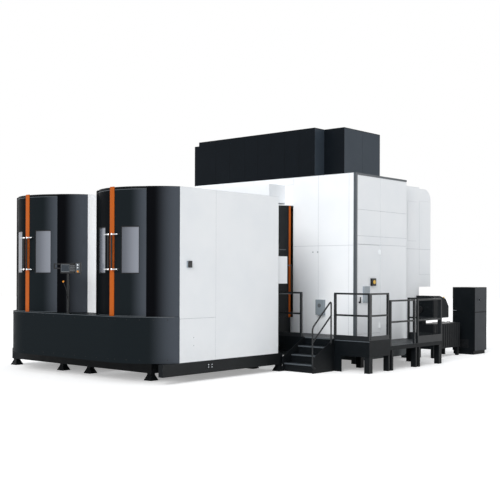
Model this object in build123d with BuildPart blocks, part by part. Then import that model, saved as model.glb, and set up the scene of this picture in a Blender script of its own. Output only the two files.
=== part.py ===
"""Horizontal machining centre with two pallet loading stations, walkway and chip conveyor."""
import os
from math import asin, atan, atan2, cos, degrees, radians, sin, sqrt

from build123d import *

os.makedirs("parts", exist_ok=True)

# Clearances and seats
seat = 0.3
door_gap = 5
running_gap = 0.05

# Loading stations, measured from the right station's front right corner
station_gap = 470
station_depth = 3290
station_top = 4130
station_wall = 40
door_axis_depth = 580
base_top = 426
floor_sheet = 30

# Curved doors
leaf_radius = 1300
leaf_sheet = 30
leaf_span_angle = 43
leaf_top = 4080
leaf_rim = 20
window_angle = 21.5
window_width = 385
window_low = 2310
window_high = 3290
pane_sheet = 8
pane_lap = 30
trim_angle = 3.05
trim_sheet = 12
trim_lift = 4
strip_rise = 12
corner_lift = 95
corner_sheet = 8
corner_sagitta = 58
corner_start_angle = 37
corner_end_angle = 66.57

# Door handles
handle_foot_angle = 8.8
handle_bar_angle = 2.3
handle_standoff = 70
handle_tube = 26
handle_low = 2390
handle_high = 3130
handle_over = 14
handle_arm = 22
handle_foot = 44

# Skirt and base frame
skirt_lip = 100
skirt_sheet = 30
skirt_top = 1400
skirt_ledge = 60
rail_width = 200
rail_bottom = 160
rail_setback = 60
rail_overhang = 300
rear_rail_setback = 170
rear_rail_width = 140
side_rail_width = 130
side_rail_reach = 450
foot_pad = 230
foot_post = 120
foot_height = 120
foot_overhang = 240
right_foot_reach = 880
left_foot_reaches = (-100, 900)
middle_rail_reach = 1880

# Turntables and pallets
turntable_depth = 1000
pedestal_diameter = 620
pedestal_top = 1160
pedestal_foot = 900
pedestal_sides = 8
turntable_diameter = 760
plate_sheet = 90
spigot_diameter = 200
spigot_depth = 120
clamp_pitch = 460
clamp_size = 100
clamp_height = 45
pallet_size = 800
pallet_height = 150
pallet_corner = 60
pallet_hole = 17.5
pallet_hole_depth = 40
pallet_hole_pitch = 480
slot_pitch = 100
slot_width = 18
slot_head = 30
slot_depth = 30
slot_neck = 16
pallet_bore = 50

# Operator console in front of the stations
console_setback = 709
console_post_diameter = 60
console_flange = 170
console_flange_sheet = 14
console_bottom = 2300
console_height = 225
console_width = 330
console_depth = 90
console_yaw = 41
console_corner = 14
grip_reach = 310
grip_tube = 24
grip_height = 95
side_box_width = 120
side_box_rise = 20
stop_diameter = 44
stop_travel = 6
stop_rise = 15
stop_shaft = 22
stop_shaft_length = 30

# Main enclosure
body_step = 760
body_reach = 4840
body_gap = 5400
body_depth = 2400
body_top = 4840
body_bottom = 430
body_wall = 60
seam_height = 3065
seam_width = 10
seam_depth = 6
front_seams = (-587, 479)
side_seam = 1150
trim_leg = 62
top_trim_height = 50
corner_trim_sheet = 8
hood_right = -1500
hood_depth = 660
hood_bottom = 4180
hood_top = 4650
hood_wall = 30

# Operator door in the front of the enclosure
operator_radius = 700
operator_sheet = 30
operator_edge = 1240
operator_half_angle = 78
operator_axis_depth = 60
operator_bottom = 1170
operator_top = 4100
operator_trim_angle = 5
operator_handle_angle = 52
operator_handle_bar = 75
operator_handle_standoff = 110
operator_handle_low = 1790
operator_handle_high = 2530

# Access door in the right wall
access_start = 100
access_width = 1000
access_bottom = 800
access_sheet = 40
hinge_diameter = 24
hinge_length = 120
hinge_strap = 70
hinge_leaf = 6
interlock_start = 220
interlock_width = 260
interlock_bottom = 1590
interlock_top = 2000
interlock_rise = 40
lamp_start = 560
lamp_width = 180
lamp_bottom = 2010
lamp_top = 2200
lamp_rise = 60
lever_setback = 60
lever_height = 1600
lever_length = 150
lever_shaft = 24
lever_boss = 30
lever_width = 34
lever_side_angle = 87
lever_sheet = 20

# Machine inside
bed_margin = 20
bed_bottom = 130
bed_lip = 200
bed_lip_bottom = 285
bed_foot = 160
bed_foot_inset = 380
way_width = 90
way_height = 60
column_way_length = 2200
table_way_length = 1300
table_way_shift = 200
table_way_pitch = 570
column_x = -3500
column_width = 900
column_depth = 800
column_front = 2200
column_top = 4250
column_wall = 200
head_way_pitch = 410
head_way_margin = 200
head_width = 620
head_depth = 560
head_height = 640
head_corner = 60
collar_wall = 40
collar_length = 60
collar_taper = 12
spindle_height = 2400
spindle_diameter = 240
spindle_nose = 128
spindle_nose_length = 30
spindle_bore = 50
spindle_reach = 150
table_depth = 900
saddle_height = 330
saddle_width = 860
saddle_corner = 60
table_hub = 740
table_height = 280

# Rear housing and tool magazine
rear_step = 550
rear_depth = 1030
rear_drop = 110
rear_left_inset = 140
magazine_depth = 630
magazine_drop = 30
magazine_bottom = 1960
magazine_width = 1900
magazine_round = 330
magazine_wall = 30
disc_radius = 640
disc_sheet = 60
disc_axle = 120
tool_count = 24
tool_diameter = 100
tool_sides = 8
tool_length = 170

# Black cover on the roof
cover_left_inset = 150
cover_end_reach = 20
cover_end_drop = 110
cover_right = 530
cover_step_right = 100
cover_step_depth = 430
cover_depth = 2110
cover_rise = 1250
cover_sheet = 40

# Walkway and stair
walkway_reach = 1935
walkway_height = 764
walkway_depth = 1150
walkway_left = 2900
side_depth = 900
lower_height = 590
lower_length = 2500
lower_joint = 1221
lower_drop = 95
apron_width = 200
deck_sheet = 40
fascia_drop = 385
fascia_sheet = 12
toe_height = 100
toe_sheet = 8
lower_toe_height = 180
leg_size = 140
leg_depth = 70
leg_pair_pitch = 150
middle_leg_reach = 1200
end_post_reach = 950
post_size = 50
rail_tube = 42
rail_height = 1100
mid_rail_height = 570
left_post_setback = 81
step_post_setback = 70
step_post_lead = 40
joint_post_offset = 77
stair_left = 50
stair_width = 900
stair_run = 800
stair_steps = 4
stringer_sheet = 14
stringer_lead = 60
stringer_lift = 150
tread_sheet = 30
riser_setback = 20
riser_sheet = 12
stair_rail_tube = 38
handrail_setback = 170
handrail_foot = 130
handrail_lead = 100
handrail_low = 1060
handrail_high = 1670
knee_drop = 345

# Coolant tank, chip conveyor and electrical cabinet
tank_right = 1100
tank_front = 8680
tank_length = 1500
tank_top = 935
tank_bottom = 245
tank_foot = 80
tank_foot_inset = 60
conveyor_back = 9520
conveyor_bottom = 1100
conveyor_shoulder = 1415
conveyor_bevel = 1625
conveyor_top = 1715
conveyor_top_run = 330
conveyor_bevel_run = 672
conveyor_post = 70
conveyor_post_run = 350
chute_size = 200
cabinet_left = 700
cabinet_width = 700
cabinet_front = 10500
cabinet_depth = 750
cabinet_height = 1940
cabinet_plinth = 100
cabinet_door_sheet = 25
cabinet_sheet = 20
knob_height = 1580
knob_diameter = 60
knob_rise = 45
knob_setback = 270
cabinet_door_gap = 4

# Boxes on the walls: limits along the wall, limits in height, rise from the wall
station_box = (230, 360, 2430, 2575, 40)
service_box = (-416, -163, 1258, 1649, 90)
cable_box = (-600, -50, 2071, 2728, 400)

# Drum shape of a station: the fixed corner panels end where the side walls begin
corner_radius = leaf_radius + corner_lift
skirt_radius = leaf_radius + skirt_lip
half_width = corner_radius * sin(radians(corner_end_angle))
station_width = 2 * half_width
station_pitch = station_width + station_gap

# Row frame: the origin is the middle of the footprint
grip_swing = (grip_reach + grip_tube / 2) * sin(radians(console_yaw))
left_reach = station_pitch + station_width + foot_overhang + foot_pad / 2
front_reach = console_setback + grip_swing + grip_tube / 2 * cos(radians(console_yaw))
back_reach = cabinet_front + cabinet_depth
station_x = (left_reach - walkway_reach) / 2
station_y = (front_reach - back_reach) / 2

# Lines shared by neighbouring pieces
door_y = station_y + door_axis_depth
centres_x = [station_x - half_width - k * station_pitch for k in range(2)]
wall_front = door_y - corner_radius * cos(radians(corner_end_angle))
station_back = station_y + station_depth
station_left = station_x - station_pitch - station_width
leaf_inner = leaf_radius - leaf_sheet
leaf_bottom = skirt_top + seat
body_right = station_x + body_step
body_left = station_x - body_reach
body_front = station_y + body_gap
body_back = body_front + body_depth
deck_front = body_front - walkway_depth
deck_right = station_x + walkway_reach
deck_step_y = deck_front + side_depth
lower_back = deck_step_y + lower_length
joint_y = deck_step_y + lower_joint
nodes = {}


def keep(name, builder):
    """Store a finished piece under its node name."""
    builder.part.label = name
    nodes[name] = builder.part


def facing_front(y):
    """Vertical plane at depth y that looks towards the front; its X is the row's X."""
    return Plane((0, y, 0), x_dir=(1, 0, 0), z_dir=(0, -1, 0))


def facing_right(x):
    """Vertical plane at x that looks to the right; its X is the row's Y."""
    return Plane((x, 0, 0), x_dir=(0, 1, 0), z_dir=(1, 0, 0))


def between(low, high):
    """Centre and length of a stretch."""
    return (low + high) / 2, high - low


def rectangle(x_low, x_high, y_low, y_high, mode=Mode.ADD):
    """Rectangle between its limits, added to the sketch in hand."""
    x, width = between(x_low, x_high)
    y, height = between(y_low, y_high)
    with Locations((x, y)):
        Rectangle(width, height, mode=mode)


def ring_sector(inner, outer, start, stop):
    """Sector of a ring; angles are counted from the front towards the right."""
    with BuildSketch() as sector:
        with BuildLine():
            far = CenterArc((0, 0), outer, start - 90, stop - start)
            near = CenterArc((0, 0), inner, start - 90, stop - start)
            Line(far @ 0, near @ 0)
            Line(far @ 1, near @ 1)
        make_face()
    return sector.sketch


def around(x, y, radius, angle, z=0):
    """Point at an angle, counted from the front towards the right, about a vertical axis."""
    return (x + radius * sin(radians(angle)), y - radius * cos(radians(angle)), z)


def radial_plane(x, y, radius, angle, z):
    """Plane that touches a vertical cylinder and looks outwards."""
    turn = radians(angle)
    return Plane(
        around(x, y, radius, angle, z),
        x_dir=(cos(turn), sin(turn), 0),
        z_dir=(sin(turn), -cos(turn), 0),
    )


def tube(points, diameter):
    """Round bar along straight runs with mitred corners."""
    with BuildPart() as bar:
        with BuildLine() as route:
            Polyline(*points)
        with BuildSketch(Plane(route.line @ 0, z_dir=route.line % 0)):
            Circle(diameter / 2)
        sweep(path=route.line, transition=Transition.RIGHT)
    return bar.part


def door_handle(x, y, radius, standoff, foot_angle, bar_angle, low, high):
    """Upright round grip on two flat arms that reach round a curved door to their feet."""
    bar_radius = radius + standoff
    arm_start, arm_stop = sorted((foot_angle, bar_angle))
    with BuildPart() as handle:
        with BuildSketch(Plane(around(x, y, bar_radius, bar_angle, low - handle_over))):
            Circle(handle_tube / 2)
        extrude(amount=high - low + 2 * handle_over)
        for z in (low, high):
            with BuildSketch(Plane((x, y, z - handle_arm / 2))):
                add(
                    ring_sector(
                        bar_radius - handle_arm / 2, bar_radius + handle_arm / 2, arm_start, arm_stop
                    )
                )
            extrude(amount=handle_arm)
            with BuildSketch(radial_plane(x, y, radius + seat, foot_angle, z)):
                Rectangle(handle_foot, handle_arm)
            extrude(amount=standoff + handle_arm / 2 - seat)
    return handle


# Station base frame: a grid of rails on flared feet, each piece seated on its neighbour
rail_front = station_y - rail_setback
front_rail_back = rail_front + rail_width
rail_left = station_left - rail_overhang
rear_rail_back = station_back + rear_rail_setback
rear_rail_front = rear_rail_back - rear_rail_width
front_foot_y = rail_front + rail_width / 2
rear_foot_y = rear_rail_back - rear_rail_width / 2
side_rail_x = station_x - side_rail_width
first_foot_x = station_x - right_foot_reach
cross_rails = [first_foot_x] + [station_x - station_pitch - reach for reach in left_foot_reaches]
cross_rails += [station_left - foot_overhang]
middle_rails = [x + half_width - middle_rail_reach for x in centres_x]
foot_spots = [(x, y) for x in cross_rails for y in (front_foot_y, rear_foot_y)]
foot_spots += [(station_x - side_rail_width / 2, rear_foot_y)]
foot_flare = degrees(atan((foot_pad - foot_post) / 2 / foot_height))
with BuildPart() as base_frame:
    with BuildSketch(Plane.XY.offset(rail_bottom)):
        rectangle(rail_left, first_foot_x + foot_post, rail_front, front_rail_back)
        rectangle(rail_left, side_rail_x - seat, rear_rail_front, rear_rail_back)
        rectangle(side_rail_x, station_x, station_y - side_rail_reach, rear_rail_back)
        for x in cross_rails + middle_rails:
            rectangle(
                x - foot_post / 2, x + foot_post / 2, front_rail_back + seat, rear_rail_front - seat
            )
    extrude(amount=base_top - rail_bottom)
    for spot in foot_spots:
        with BuildSketch(Plane((*spot, 0))):
            Rectangle(foot_pad, foot_pad)
        extrude(amount=foot_height, taper=foot_flare)
        with BuildSketch(Plane((*spot, foot_height))):
            Rectangle(foot_post, foot_post)
        extrude(amount=rail_bottom - foot_height - seat)
keep("station_base_frame", base_frame)

# Station floors with the welded pedestals of the turntables
turntable_y = station_y + turntable_depth
turntable_spots = [(x, turntable_y) for x in centres_x]
floor_top = base_top + floor_sheet
pedestal_rise = pedestal_top - plate_sheet - floor_top
pedestal_taper = degrees(atan((pedestal_foot - pedestal_diameter) / 2 / pedestal_rise))
with BuildPart() as floor:
    with BuildSketch(Plane.XY.offset(base_top)):
        for x in centres_x:
            floor_half = half_width - station_wall
            rectangle(x - floor_half, x + floor_half, wall_front, station_back - station_wall)
    extrude(amount=floor_sheet)
    for spot in turntable_spots:
        with BuildSketch(Plane((*spot, floor_top))):
            RegularPolygon(radius=pedestal_foot / 2, side_count=pedestal_sides)
        extrude(amount=pedestal_rise, taper=pedestal_taper)
        with BuildSketch(Plane((*spot, pedestal_top))):
            Circle(pedestal_diameter / 2)
        extrude(amount=-plate_sheet)
        with BuildSketch(Plane((*spot, pedestal_top))):
            Circle(spigot_diameter / 2 + running_gap)
        extrude(amount=-(spigot_depth + seat), mode=Mode.SUBTRACT)
keep("station_floor", floor)


def skirt_outline(radius, back):
    """Rounded front outline shared by both stations, closed behind at the given depth."""
    right, left = centres_x
    turn = degrees(asin(sqrt(radius**2 - (door_y - back) ** 2) / radius))
    with BuildSketch() as outline:
        with BuildLine():
            right_arc = CenterArc((right, door_y), radius, -90, turn)
            left_arc = CenterArc((left, door_y), radius, -90, -turn)
            Line(right_arc @ 0, left_arc @ 0)
            Line(right_arc @ 1, left_arc @ 1)
        make_face()
    return outline.sketch


# Black skirt below the doors, one folded shell in front of both stations
with BuildPart() as skirt:
    with BuildSketch(Plane.XY.offset(base_top)):
        add(skirt_outline(skirt_radius, wall_front))
    extrude(amount=skirt_top - base_top)
    with BuildSketch(Plane.XY.offset(base_top)):
        add(skirt_outline(skirt_radius - skirt_sheet, wall_front + skirt_sheet))
    extrude(amount=skirt_top - base_top - skirt_sheet, mode=Mode.SUBTRACT)
    with BuildSketch(Plane.XY.offset(skirt_top)):
        with Locations(*[(x, door_y) for x in centres_x]):
            Circle(leaf_radius - skirt_ledge)
    extrude(amount=-skirt_sheet, mode=Mode.SUBTRACT)
keep("station_skirt", skirt)

# White side walls of both stations and the rear walls between them
with BuildPart() as station_walls:
    for x in centres_x:
        for inner in (x - half_width, x + half_width - station_wall):
            with BuildSketch(facing_right(inner)):
                rectangle(wall_front, station_back, base_top, station_top)
            extrude(amount=station_wall)
    with BuildSketch(facing_front(station_back)):
        for x in centres_x:
            rear_half = half_width - station_wall - seat
            rectangle(x - rear_half, x + rear_half, base_top, station_top)
    extrude(amount=station_wall)
keep("station_walls", station_walls)


# Curve of a corner panel, measured from a station's door axis: it starts over the edge of the
# open door and ends at the side wall
panel_start = Vector(around(0, 0, leaf_radius + trim_sheet, corner_start_angle))
panel_end = Vector(around(0, 0, corner_radius, corner_end_angle))
chord = panel_end - panel_start
curve_radius = (chord.length**2 / 4 + corner_sagitta**2) / (2 * corner_sagitta)
curve_facing = degrees(atan2(chord.Y, chord.X))
curve_turn = degrees(asin(chord.length / 2 / curve_radius))
chord_middle = (panel_start + panel_end) / 2
curve_centre = Vector(
    around(chord_middle.X, chord_middle.Y, corner_sagitta - curve_radius, curve_facing)
)

# Fixed curved panels between the doors and the side walls
with BuildPart() as corner_panels:
    for x in centres_x:
        for side in (-1, 1):
            ends = (side * (curve_facing - curve_turn), side * (curve_facing + curve_turn))
            with BuildSketch(Plane((x + side * curve_centre.X, door_y + curve_centre.Y, skirt_top))):
                add(ring_sector(curve_radius - corner_sheet, curve_radius, *sorted(ends)))
            extrude(amount=station_top - skirt_top)
    split(bisect_by=facing_front(wall_front), keep=Keep.TOP)
keep("station_corner_panels", corner_panels)

# Roof plates over the curved doors, inside the corner panels and between the walls
roof_bottom = station_top - station_wall
roof_back = station_back - station_wall - door_y
inner_half = half_width - station_wall
with BuildSketch() as roof_plan:
    with BuildLine():
        over_doors = CenterArc((0, 0), leaf_radius - door_gap, -90, corner_start_angle)
        inside_panel = CenterArc(
            (curve_centre.X, curve_centre.Y),
            curve_radius - corner_sheet - seat,
            curve_facing - curve_turn - 90,
            2 * curve_turn,
        )
        Line(over_doors @ 1, inside_panel @ 0)
        panel_inside_end = inside_panel @ 1
        Polyline(
            panel_inside_end,
            (inner_half, panel_inside_end.Y),
            (inner_half, roof_back),
            (0, roof_back),
        )
        mirror(about=Plane.YZ)
    make_face()
with BuildPart() as station_roofs:
    with BuildSketch(Plane.XY.offset(roof_bottom)):
        with Locations(*[(x, door_y) for x in centres_x]):
            add(roof_plan.sketch)
    extrude(amount=station_wall)
    add(station_walls.part, mode=Mode.SUBTRACT)
keep("station_roofs", station_roofs)

# Curved door leaves, their panes, closing strips and handles
half_seam = degrees(door_gap / 2 / leaf_radius)
for station, x in zip(("right", "left"), centres_x):
    axis = Plane((x, door_y, 0))
    for side, side_name in ((1, "right"), (-1, "left")):
        prefix = f"{station}_station_{side_name}_door"
        window = radial_plane(
            x, door_y, leaf_radius, side * window_angle, (window_low + window_high) / 2
        )
        start, stop = sorted((side * half_seam, side * leaf_span_angle))
        with BuildPart() as leaf:
            with BuildSketch(axis.offset(leaf_bottom)):
                add(ring_sector(leaf_inner, leaf_radius, start, stop))
            extrude(amount=leaf_top - leaf_bottom)
            for rim_bottom in (leaf_bottom, leaf_top - leaf_rim):
                with BuildSketch(axis.offset(rim_bottom)):
                    add(ring_sector(leaf_inner - leaf_rim, leaf_inner, start, stop))
                extrude(amount=leaf_rim)
            with BuildSketch(window):
                Rectangle(window_width, window_high - window_low)
            extrude(amount=leaf_sheet, both=True, mode=Mode.SUBTRACT)
        keep(prefix, leaf)

        lap = degrees((window_width / 2 + pane_lap) / leaf_radius)
        pane_start = side * window_angle - lap
        with BuildPart() as pane:
            with BuildSketch(axis.offset(window_low - pane_lap)):
                add(
                    ring_sector(
                        leaf_inner - seat - pane_sheet,
                        leaf_inner - seat,
                        pane_start,
                        pane_start + 2 * lap,
                    )
                )
            extrude(amount=window_high - window_low + 2 * pane_lap)
        keep(f"{prefix}_window", pane)

        handle = door_handle(
            x,
            door_y,
            leaf_radius,
            handle_standoff,
            side * handle_foot_angle,
            side * handle_bar_angle,
            handle_low,
            handle_high,
        )
        keep(f"{prefix}_handle", handle)

    with BuildPart() as strip:
        with BuildSketch(axis.offset(leaf_bottom)):
            add(ring_sector(leaf_radius + seat, leaf_radius + trim_sheet, half_seam, trim_angle))
            add(
                ring_sector(
                    leaf_radius + trim_lift, leaf_radius + trim_sheet, -trim_angle, half_seam
                )
            )
        extrude(amount=station_top + strip_rise - leaf_bottom)
    keep(f"{station}_station_door_strip", strip)

# Turntables and pallets in the stations
clamp_top = pedestal_top + plate_sheet + clamp_height
for station, x in zip(("right", "left"), centres_x):
    with BuildPart() as turntable:
        with BuildSketch(Plane((x, turntable_y, pedestal_top))):
            Circle(turntable_diameter / 2)
        extrude(amount=plate_sheet)
        with BuildSketch(Plane((x, turntable_y, pedestal_top))):
            Circle(spigot_diameter / 2)
        extrude(amount=-spigot_depth)
        with BuildSketch(Plane((x, turntable_y, clamp_top))):
            with GridLocations(clamp_pitch, clamp_pitch, 2, 2):
                Rectangle(clamp_size, clamp_size)
        extrude(amount=-clamp_height)
    keep(f"{station}_turntable", turntable)

    with BuildPart() as pallet:
        with BuildSketch(Plane((x, turntable_y, clamp_top))):
            Rectangle(pallet_size, pallet_size)
        extrude(amount=pallet_height)
        chamfer(pallet.edges().filter_by(Axis.Z), length=pallet_corner)
        with BuildSketch(Plane((x, turntable_y, clamp_top + pallet_height))):
            with GridLocations(pallet_hole_pitch, pallet_hole_pitch, 2, 2):
                Circle(pallet_hole / 2)
            Circle(pallet_bore / 2)
        extrude(amount=-pallet_hole_depth, mode=Mode.SUBTRACT)
        with BuildSketch(facing_front(turntable_y + pallet_size / 2)):
            with Locations((x, clamp_top + pallet_height)):
                with GridLocations(slot_pitch, 0, 4, 1):
                    Rectangle(slot_width, 2 * slot_neck)
            with Locations((x, clamp_top + pallet_height - (slot_depth + slot_neck) / 2)):
                with GridLocations(slot_pitch, 0, 4, 1):
                    Rectangle(slot_head, slot_depth - slot_neck)
        extrude(amount=pallet_size, mode=Mode.SUBTRACT)
    keep(f"{station}_pallet", pallet)

# Operator console on a post that stands on the skirt between the stations
console_x = (centres_x[0] + centres_x[1]) / 2
console_y = station_y - console_setback
console_plane = Plane(
    (console_x, console_y, console_bottom),
    x_dir=(cos(radians(console_yaw)), sin(radians(console_yaw)), 0),
    z_dir=(0, 0, 1),
)
with BuildPart() as console_post:
    with BuildSketch(Plane((console_x, console_y, skirt_top))):
        Circle(console_flange / 2)
    extrude(amount=console_flange_sheet)
    with BuildSketch(Plane((console_x, console_y, skirt_top))):
        Circle(console_post_diameter / 2)
    extrude(amount=console_bottom - skirt_top)
keep("console_post", console_post)

grip_plane = Plane(
    console_plane.origin + Vector(0, 0, console_height / 2),
    x_dir=console_plane.x_dir,
    z_dir=console_plane.x_dir.cross(Vector(0, 0, 1)),
)
stop_lift = stop_travel + seat
stop_plane = Plane(
    console_plane.from_local_coords(
        Vector(console_width / 2 + side_box_width / 2, -console_depth / 2, stop_diameter)
    ),
    x_dir=console_plane.x_dir,
    z_dir=console_plane.x_dir.cross(Vector(0, 0, 1)),
)
with BuildPart() as console_head:
    with BuildSketch(console_plane):
        Rectangle(console_width, console_depth)
    extrude(amount=console_height)
    chamfer(console_head.edges().filter_by(Axis.Z), length=console_corner)
    with BuildSketch(console_plane.offset(-side_box_rise)):
        with Locations((console_width / 2 + side_box_width / 2, 0)):
            Rectangle(side_box_width, console_depth)
    extrude(amount=console_height + 2 * side_box_rise)
    with BuildSketch(grip_plane.offset(-grip_tube / 2)):
        rectangle(
            -grip_reach - grip_tube / 2,
            -console_width / 2,
            -grip_tube / 2,
            grip_height + grip_tube / 2,
        )
        rectangle(
            -grip_reach + grip_tube / 2,
            -console_width / 2,
            grip_tube / 2,
            grip_height - grip_tube / 2,
            mode=Mode.SUBTRACT,
        )
    extrude(amount=grip_tube)
    with BuildSketch(stop_plane):
        Circle(stop_shaft / 2 + running_gap)
    extrude(amount=-console_depth / 2, mode=Mode.SUBTRACT)
keep("console_head", console_head)

with BuildPart() as stop_button:
    with BuildSketch(stop_plane.offset(stop_lift)):
        Circle(stop_diameter / 2)
    extrude(amount=stop_rise)
    with BuildSketch(stop_plane.offset(stop_lift)):
        Circle(stop_shaft / 2)
    extrude(amount=-stop_shaft_length)
keep("console_stop_button", stop_button)

# Front wall of the enclosure with the doorway of the operator door, its panel seams and the hood
# above the pallet passage, which is open towards the inside
hood_right_x = station_x + hood_right
operator_x = station_x - operator_edge - operator_radius * sin(radians(operator_half_angle))
operator_y = body_front + operator_axis_depth
doorway_half = operator_radius + door_gap
front_inner = body_front + body_wall
with BuildPart() as front_panel:
    with BuildSketch(facing_front(front_inner)):
        rectangle(body_left, body_right, body_bottom, body_top)
        rectangle(
            operator_x - doorway_half,
            operator_x + doorway_half,
            operator_bottom,
            operator_top,
            mode=Mode.SUBTRACT,
        )
    extrude(amount=body_wall)
    with BuildSketch(facing_front(body_front)):
        rectangle(body_left, body_right, seam_height, seam_height + seam_width)
        for seam in front_seams:
            x = station_x + seam
            rectangle(x, x + seam_width, walkway_height, seam_height)
        rectangle(
            operator_x - doorway_half - seam_width,
            operator_x + doorway_half + seam_width,
            operator_bottom,
            operator_top,
            mode=Mode.SUBTRACT,
        )
    extrude(amount=-seam_depth, mode=Mode.SUBTRACT)
    with BuildSketch(Plane((operator_x, operator_y, operator_top))):
        Circle(operator_radius)
        rectangle(-operator_radius, operator_radius, 0, operator_radius, mode=Mode.SUBTRACT)
    extrude(amount=leaf_rim)
    with BuildSketch(facing_front(body_front)):
        rectangle(body_left, hood_right_x, hood_bottom, hood_top)
    extrude(amount=hood_depth)
    with BuildSketch(facing_front(front_inner)):
        rectangle(
            body_left + body_wall,
            hood_right_x - hood_wall,
            hood_bottom + hood_wall,
            hood_top - hood_wall,
        )
    extrude(amount=body_wall + hood_depth - hood_wall, mode=Mode.SUBTRACT)
keep("front_panel", front_panel)

# Right wall with the access doorway
access_front = body_front + access_start
access_back = access_front + access_width
access_top = seam_height - seam_width
right_inner = body_right - body_wall
with BuildPart() as right_panel:
    with BuildSketch(facing_right(right_inner)):
        rectangle(front_inner, body_back, body_bottom, body_top)
        rectangle(access_front, access_back, access_bottom, access_top, mode=Mode.SUBTRACT)
    extrude(amount=body_wall)
    with BuildSketch(facing_right(body_right)):
        rectangle(front_inner, body_back, seam_height, seam_height + seam_width)
        seam_y = body_front + side_seam
        rectangle(seam_y, seam_y + seam_width, seam_height, body_top)
        rectangle(seam_y, seam_y + seam_width, body_bottom, seam_height)
    extrude(amount=-seam_depth, mode=Mode.SUBTRACT)
keep("right_panel", right_panel)

with BuildPart() as left_panel:
    with BuildSketch(facing_right(body_left)):
        rectangle(front_inner, body_back, body_bottom, body_top)
    extrude(amount=body_wall)
keep("left_panel", left_panel)

# Roof of the enclosure between its walls
with BuildPart() as enclosure_roof:
    with BuildSketch(Plane.XY.offset(body_top)):
        rectangle(body_left + body_wall, right_inner, front_inner, body_back)
    extrude(amount=-body_wall)
keep("enclosure_roof", enclosure_roof)

# Rear housing behind the column: a shell open towards the front, with a flange between the walls
rear_right = station_x + rear_step
rear_left_x = body_left + rear_left_inset
rear_back = body_back + rear_depth
rear_top = body_top - rear_drop
with BuildPart() as rear_housing:
    with BuildSketch(facing_front(body_back)):
        rectangle(rear_left_x, rear_right, body_bottom, rear_top)
    extrude(amount=-rear_depth)
    with BuildSketch(facing_front(body_back)):
        rectangle(rear_left_x + body_wall, rear_right - body_wall, body_bottom, rear_top - body_wall)
    extrude(amount=-(rear_depth - body_wall), mode=Mode.SUBTRACT)
    with BuildSketch(facing_front(body_back)):
        rectangle(body_left + body_wall, right_inner, body_bottom, body_top - body_wall)
        rectangle(
            rear_left_x + body_wall,
            rear_right - body_wall,
            body_bottom,
            rear_top - body_wall,
            mode=Mode.SUBTRACT,
        )
    extrude(amount=body_wall)
keep("rear_housing", rear_housing)

# Corner trim at the front right edge, with a band along the top of the right wall
with BuildPart() as corner_trim:
    with BuildSketch(Plane.XY.offset(walkway_height)):
        rectangle(
            body_right - trim_leg,
            body_right + corner_trim_sheet,
            body_front - corner_trim_sheet,
            body_front + trim_leg,
        )
        rectangle(
            body_right - trim_leg, body_right, body_front, body_front + trim_leg, mode=Mode.SUBTRACT
        )
    extrude(amount=body_top - walkway_height)
    with BuildSketch(facing_right(body_right)):
        rectangle(body_front + trim_leg, body_back, body_top - top_trim_height, body_top)
    extrude(amount=corner_trim_sheet)
keep("corner_trim", corner_trim)

# Stepped black cover on the roof with a lower end piece at its left, a folded shell open below
cover_left_x = body_left + cover_left_inset
cover_end_x = body_left - cover_end_reach
cover_step_x = station_x - cover_right
cover_right_x = station_x + cover_step_right
cover_step_y = body_front + cover_step_depth
cover_back = body_front + cover_depth


def cover_plan(inset):
    """Plan of the roof cover with its step at the front right, inset by a sheet."""
    with BuildSketch() as plan:
        rectangle(
            cover_left_x + inset, cover_right_x - inset, cover_step_y + inset, cover_back - inset
        )
        rectangle(
            cover_left_x + inset, cover_step_x - inset, body_front + inset, cover_back - inset
        )
    return plan.sketch


with BuildPart() as roof_cover:
    with BuildSketch(Plane.XY.offset(body_top)):
        add(cover_plan(0))
    extrude(amount=cover_rise)
    with BuildSketch(Plane.XY.offset(body_top)):
        rectangle(cover_end_x, cover_left_x, body_front, cover_back)
    extrude(amount=cover_rise - cover_end_drop)
    with BuildSketch(Plane.XY.offset(body_top)):
        add(cover_plan(cover_sheet))
    extrude(amount=cover_rise - cover_sheet, mode=Mode.SUBTRACT)
    with BuildSketch(Plane.XY.offset(body_top)):
        rectangle(
            cover_end_x + cover_sheet,
            cover_left_x + cover_sheet,
            body_front + cover_sheet,
            cover_back - cover_sheet,
        )
    extrude(amount=cover_rise - cover_end_drop - cover_sheet, mode=Mode.SUBTRACT)
keep("roof_cover", roof_cover)

# Operator door: a half drum that turns into the enclosure, with strip and handle
operator_axis = Plane((operator_x, operator_y, 0))
operator_inner = operator_radius - operator_sheet
operator_rise = operator_top - operator_bottom - door_gap
with BuildPart() as operator_door:
    with BuildSketch(operator_axis.offset(operator_bottom + seat)):
        add(ring_sector(operator_inner, operator_radius, -operator_half_angle, operator_half_angle))
    extrude(amount=operator_rise)
    for z in (operator_bottom + seat, operator_bottom + seat + operator_rise - leaf_rim):
        with BuildSketch(operator_axis.offset(z)):
            add(
                ring_sector(
                    operator_inner - leaf_rim,
                    operator_inner,
                    -operator_half_angle,
                    operator_half_angle,
                )
            )
        extrude(amount=leaf_rim)
keep("operator_door", operator_door)

with BuildPart() as operator_strip:
    with BuildSketch(operator_axis.offset(operator_bottom + seat)):
        add(
            ring_sector(
                operator_radius + seat,
                operator_radius + trim_sheet / 2,
                operator_half_angle - operator_trim_angle,
                operator_half_angle,
            )
        )
    extrude(amount=operator_rise)
keep("operator_door_strip", operator_strip)

operator_handle = door_handle(
    operator_x,
    operator_y,
    operator_radius,
    operator_handle_standoff,
    operator_handle_angle,
    operator_handle_bar,
    operator_handle_low,
    operator_handle_high,
)
keep("operator_door_handle", operator_handle)

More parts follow.
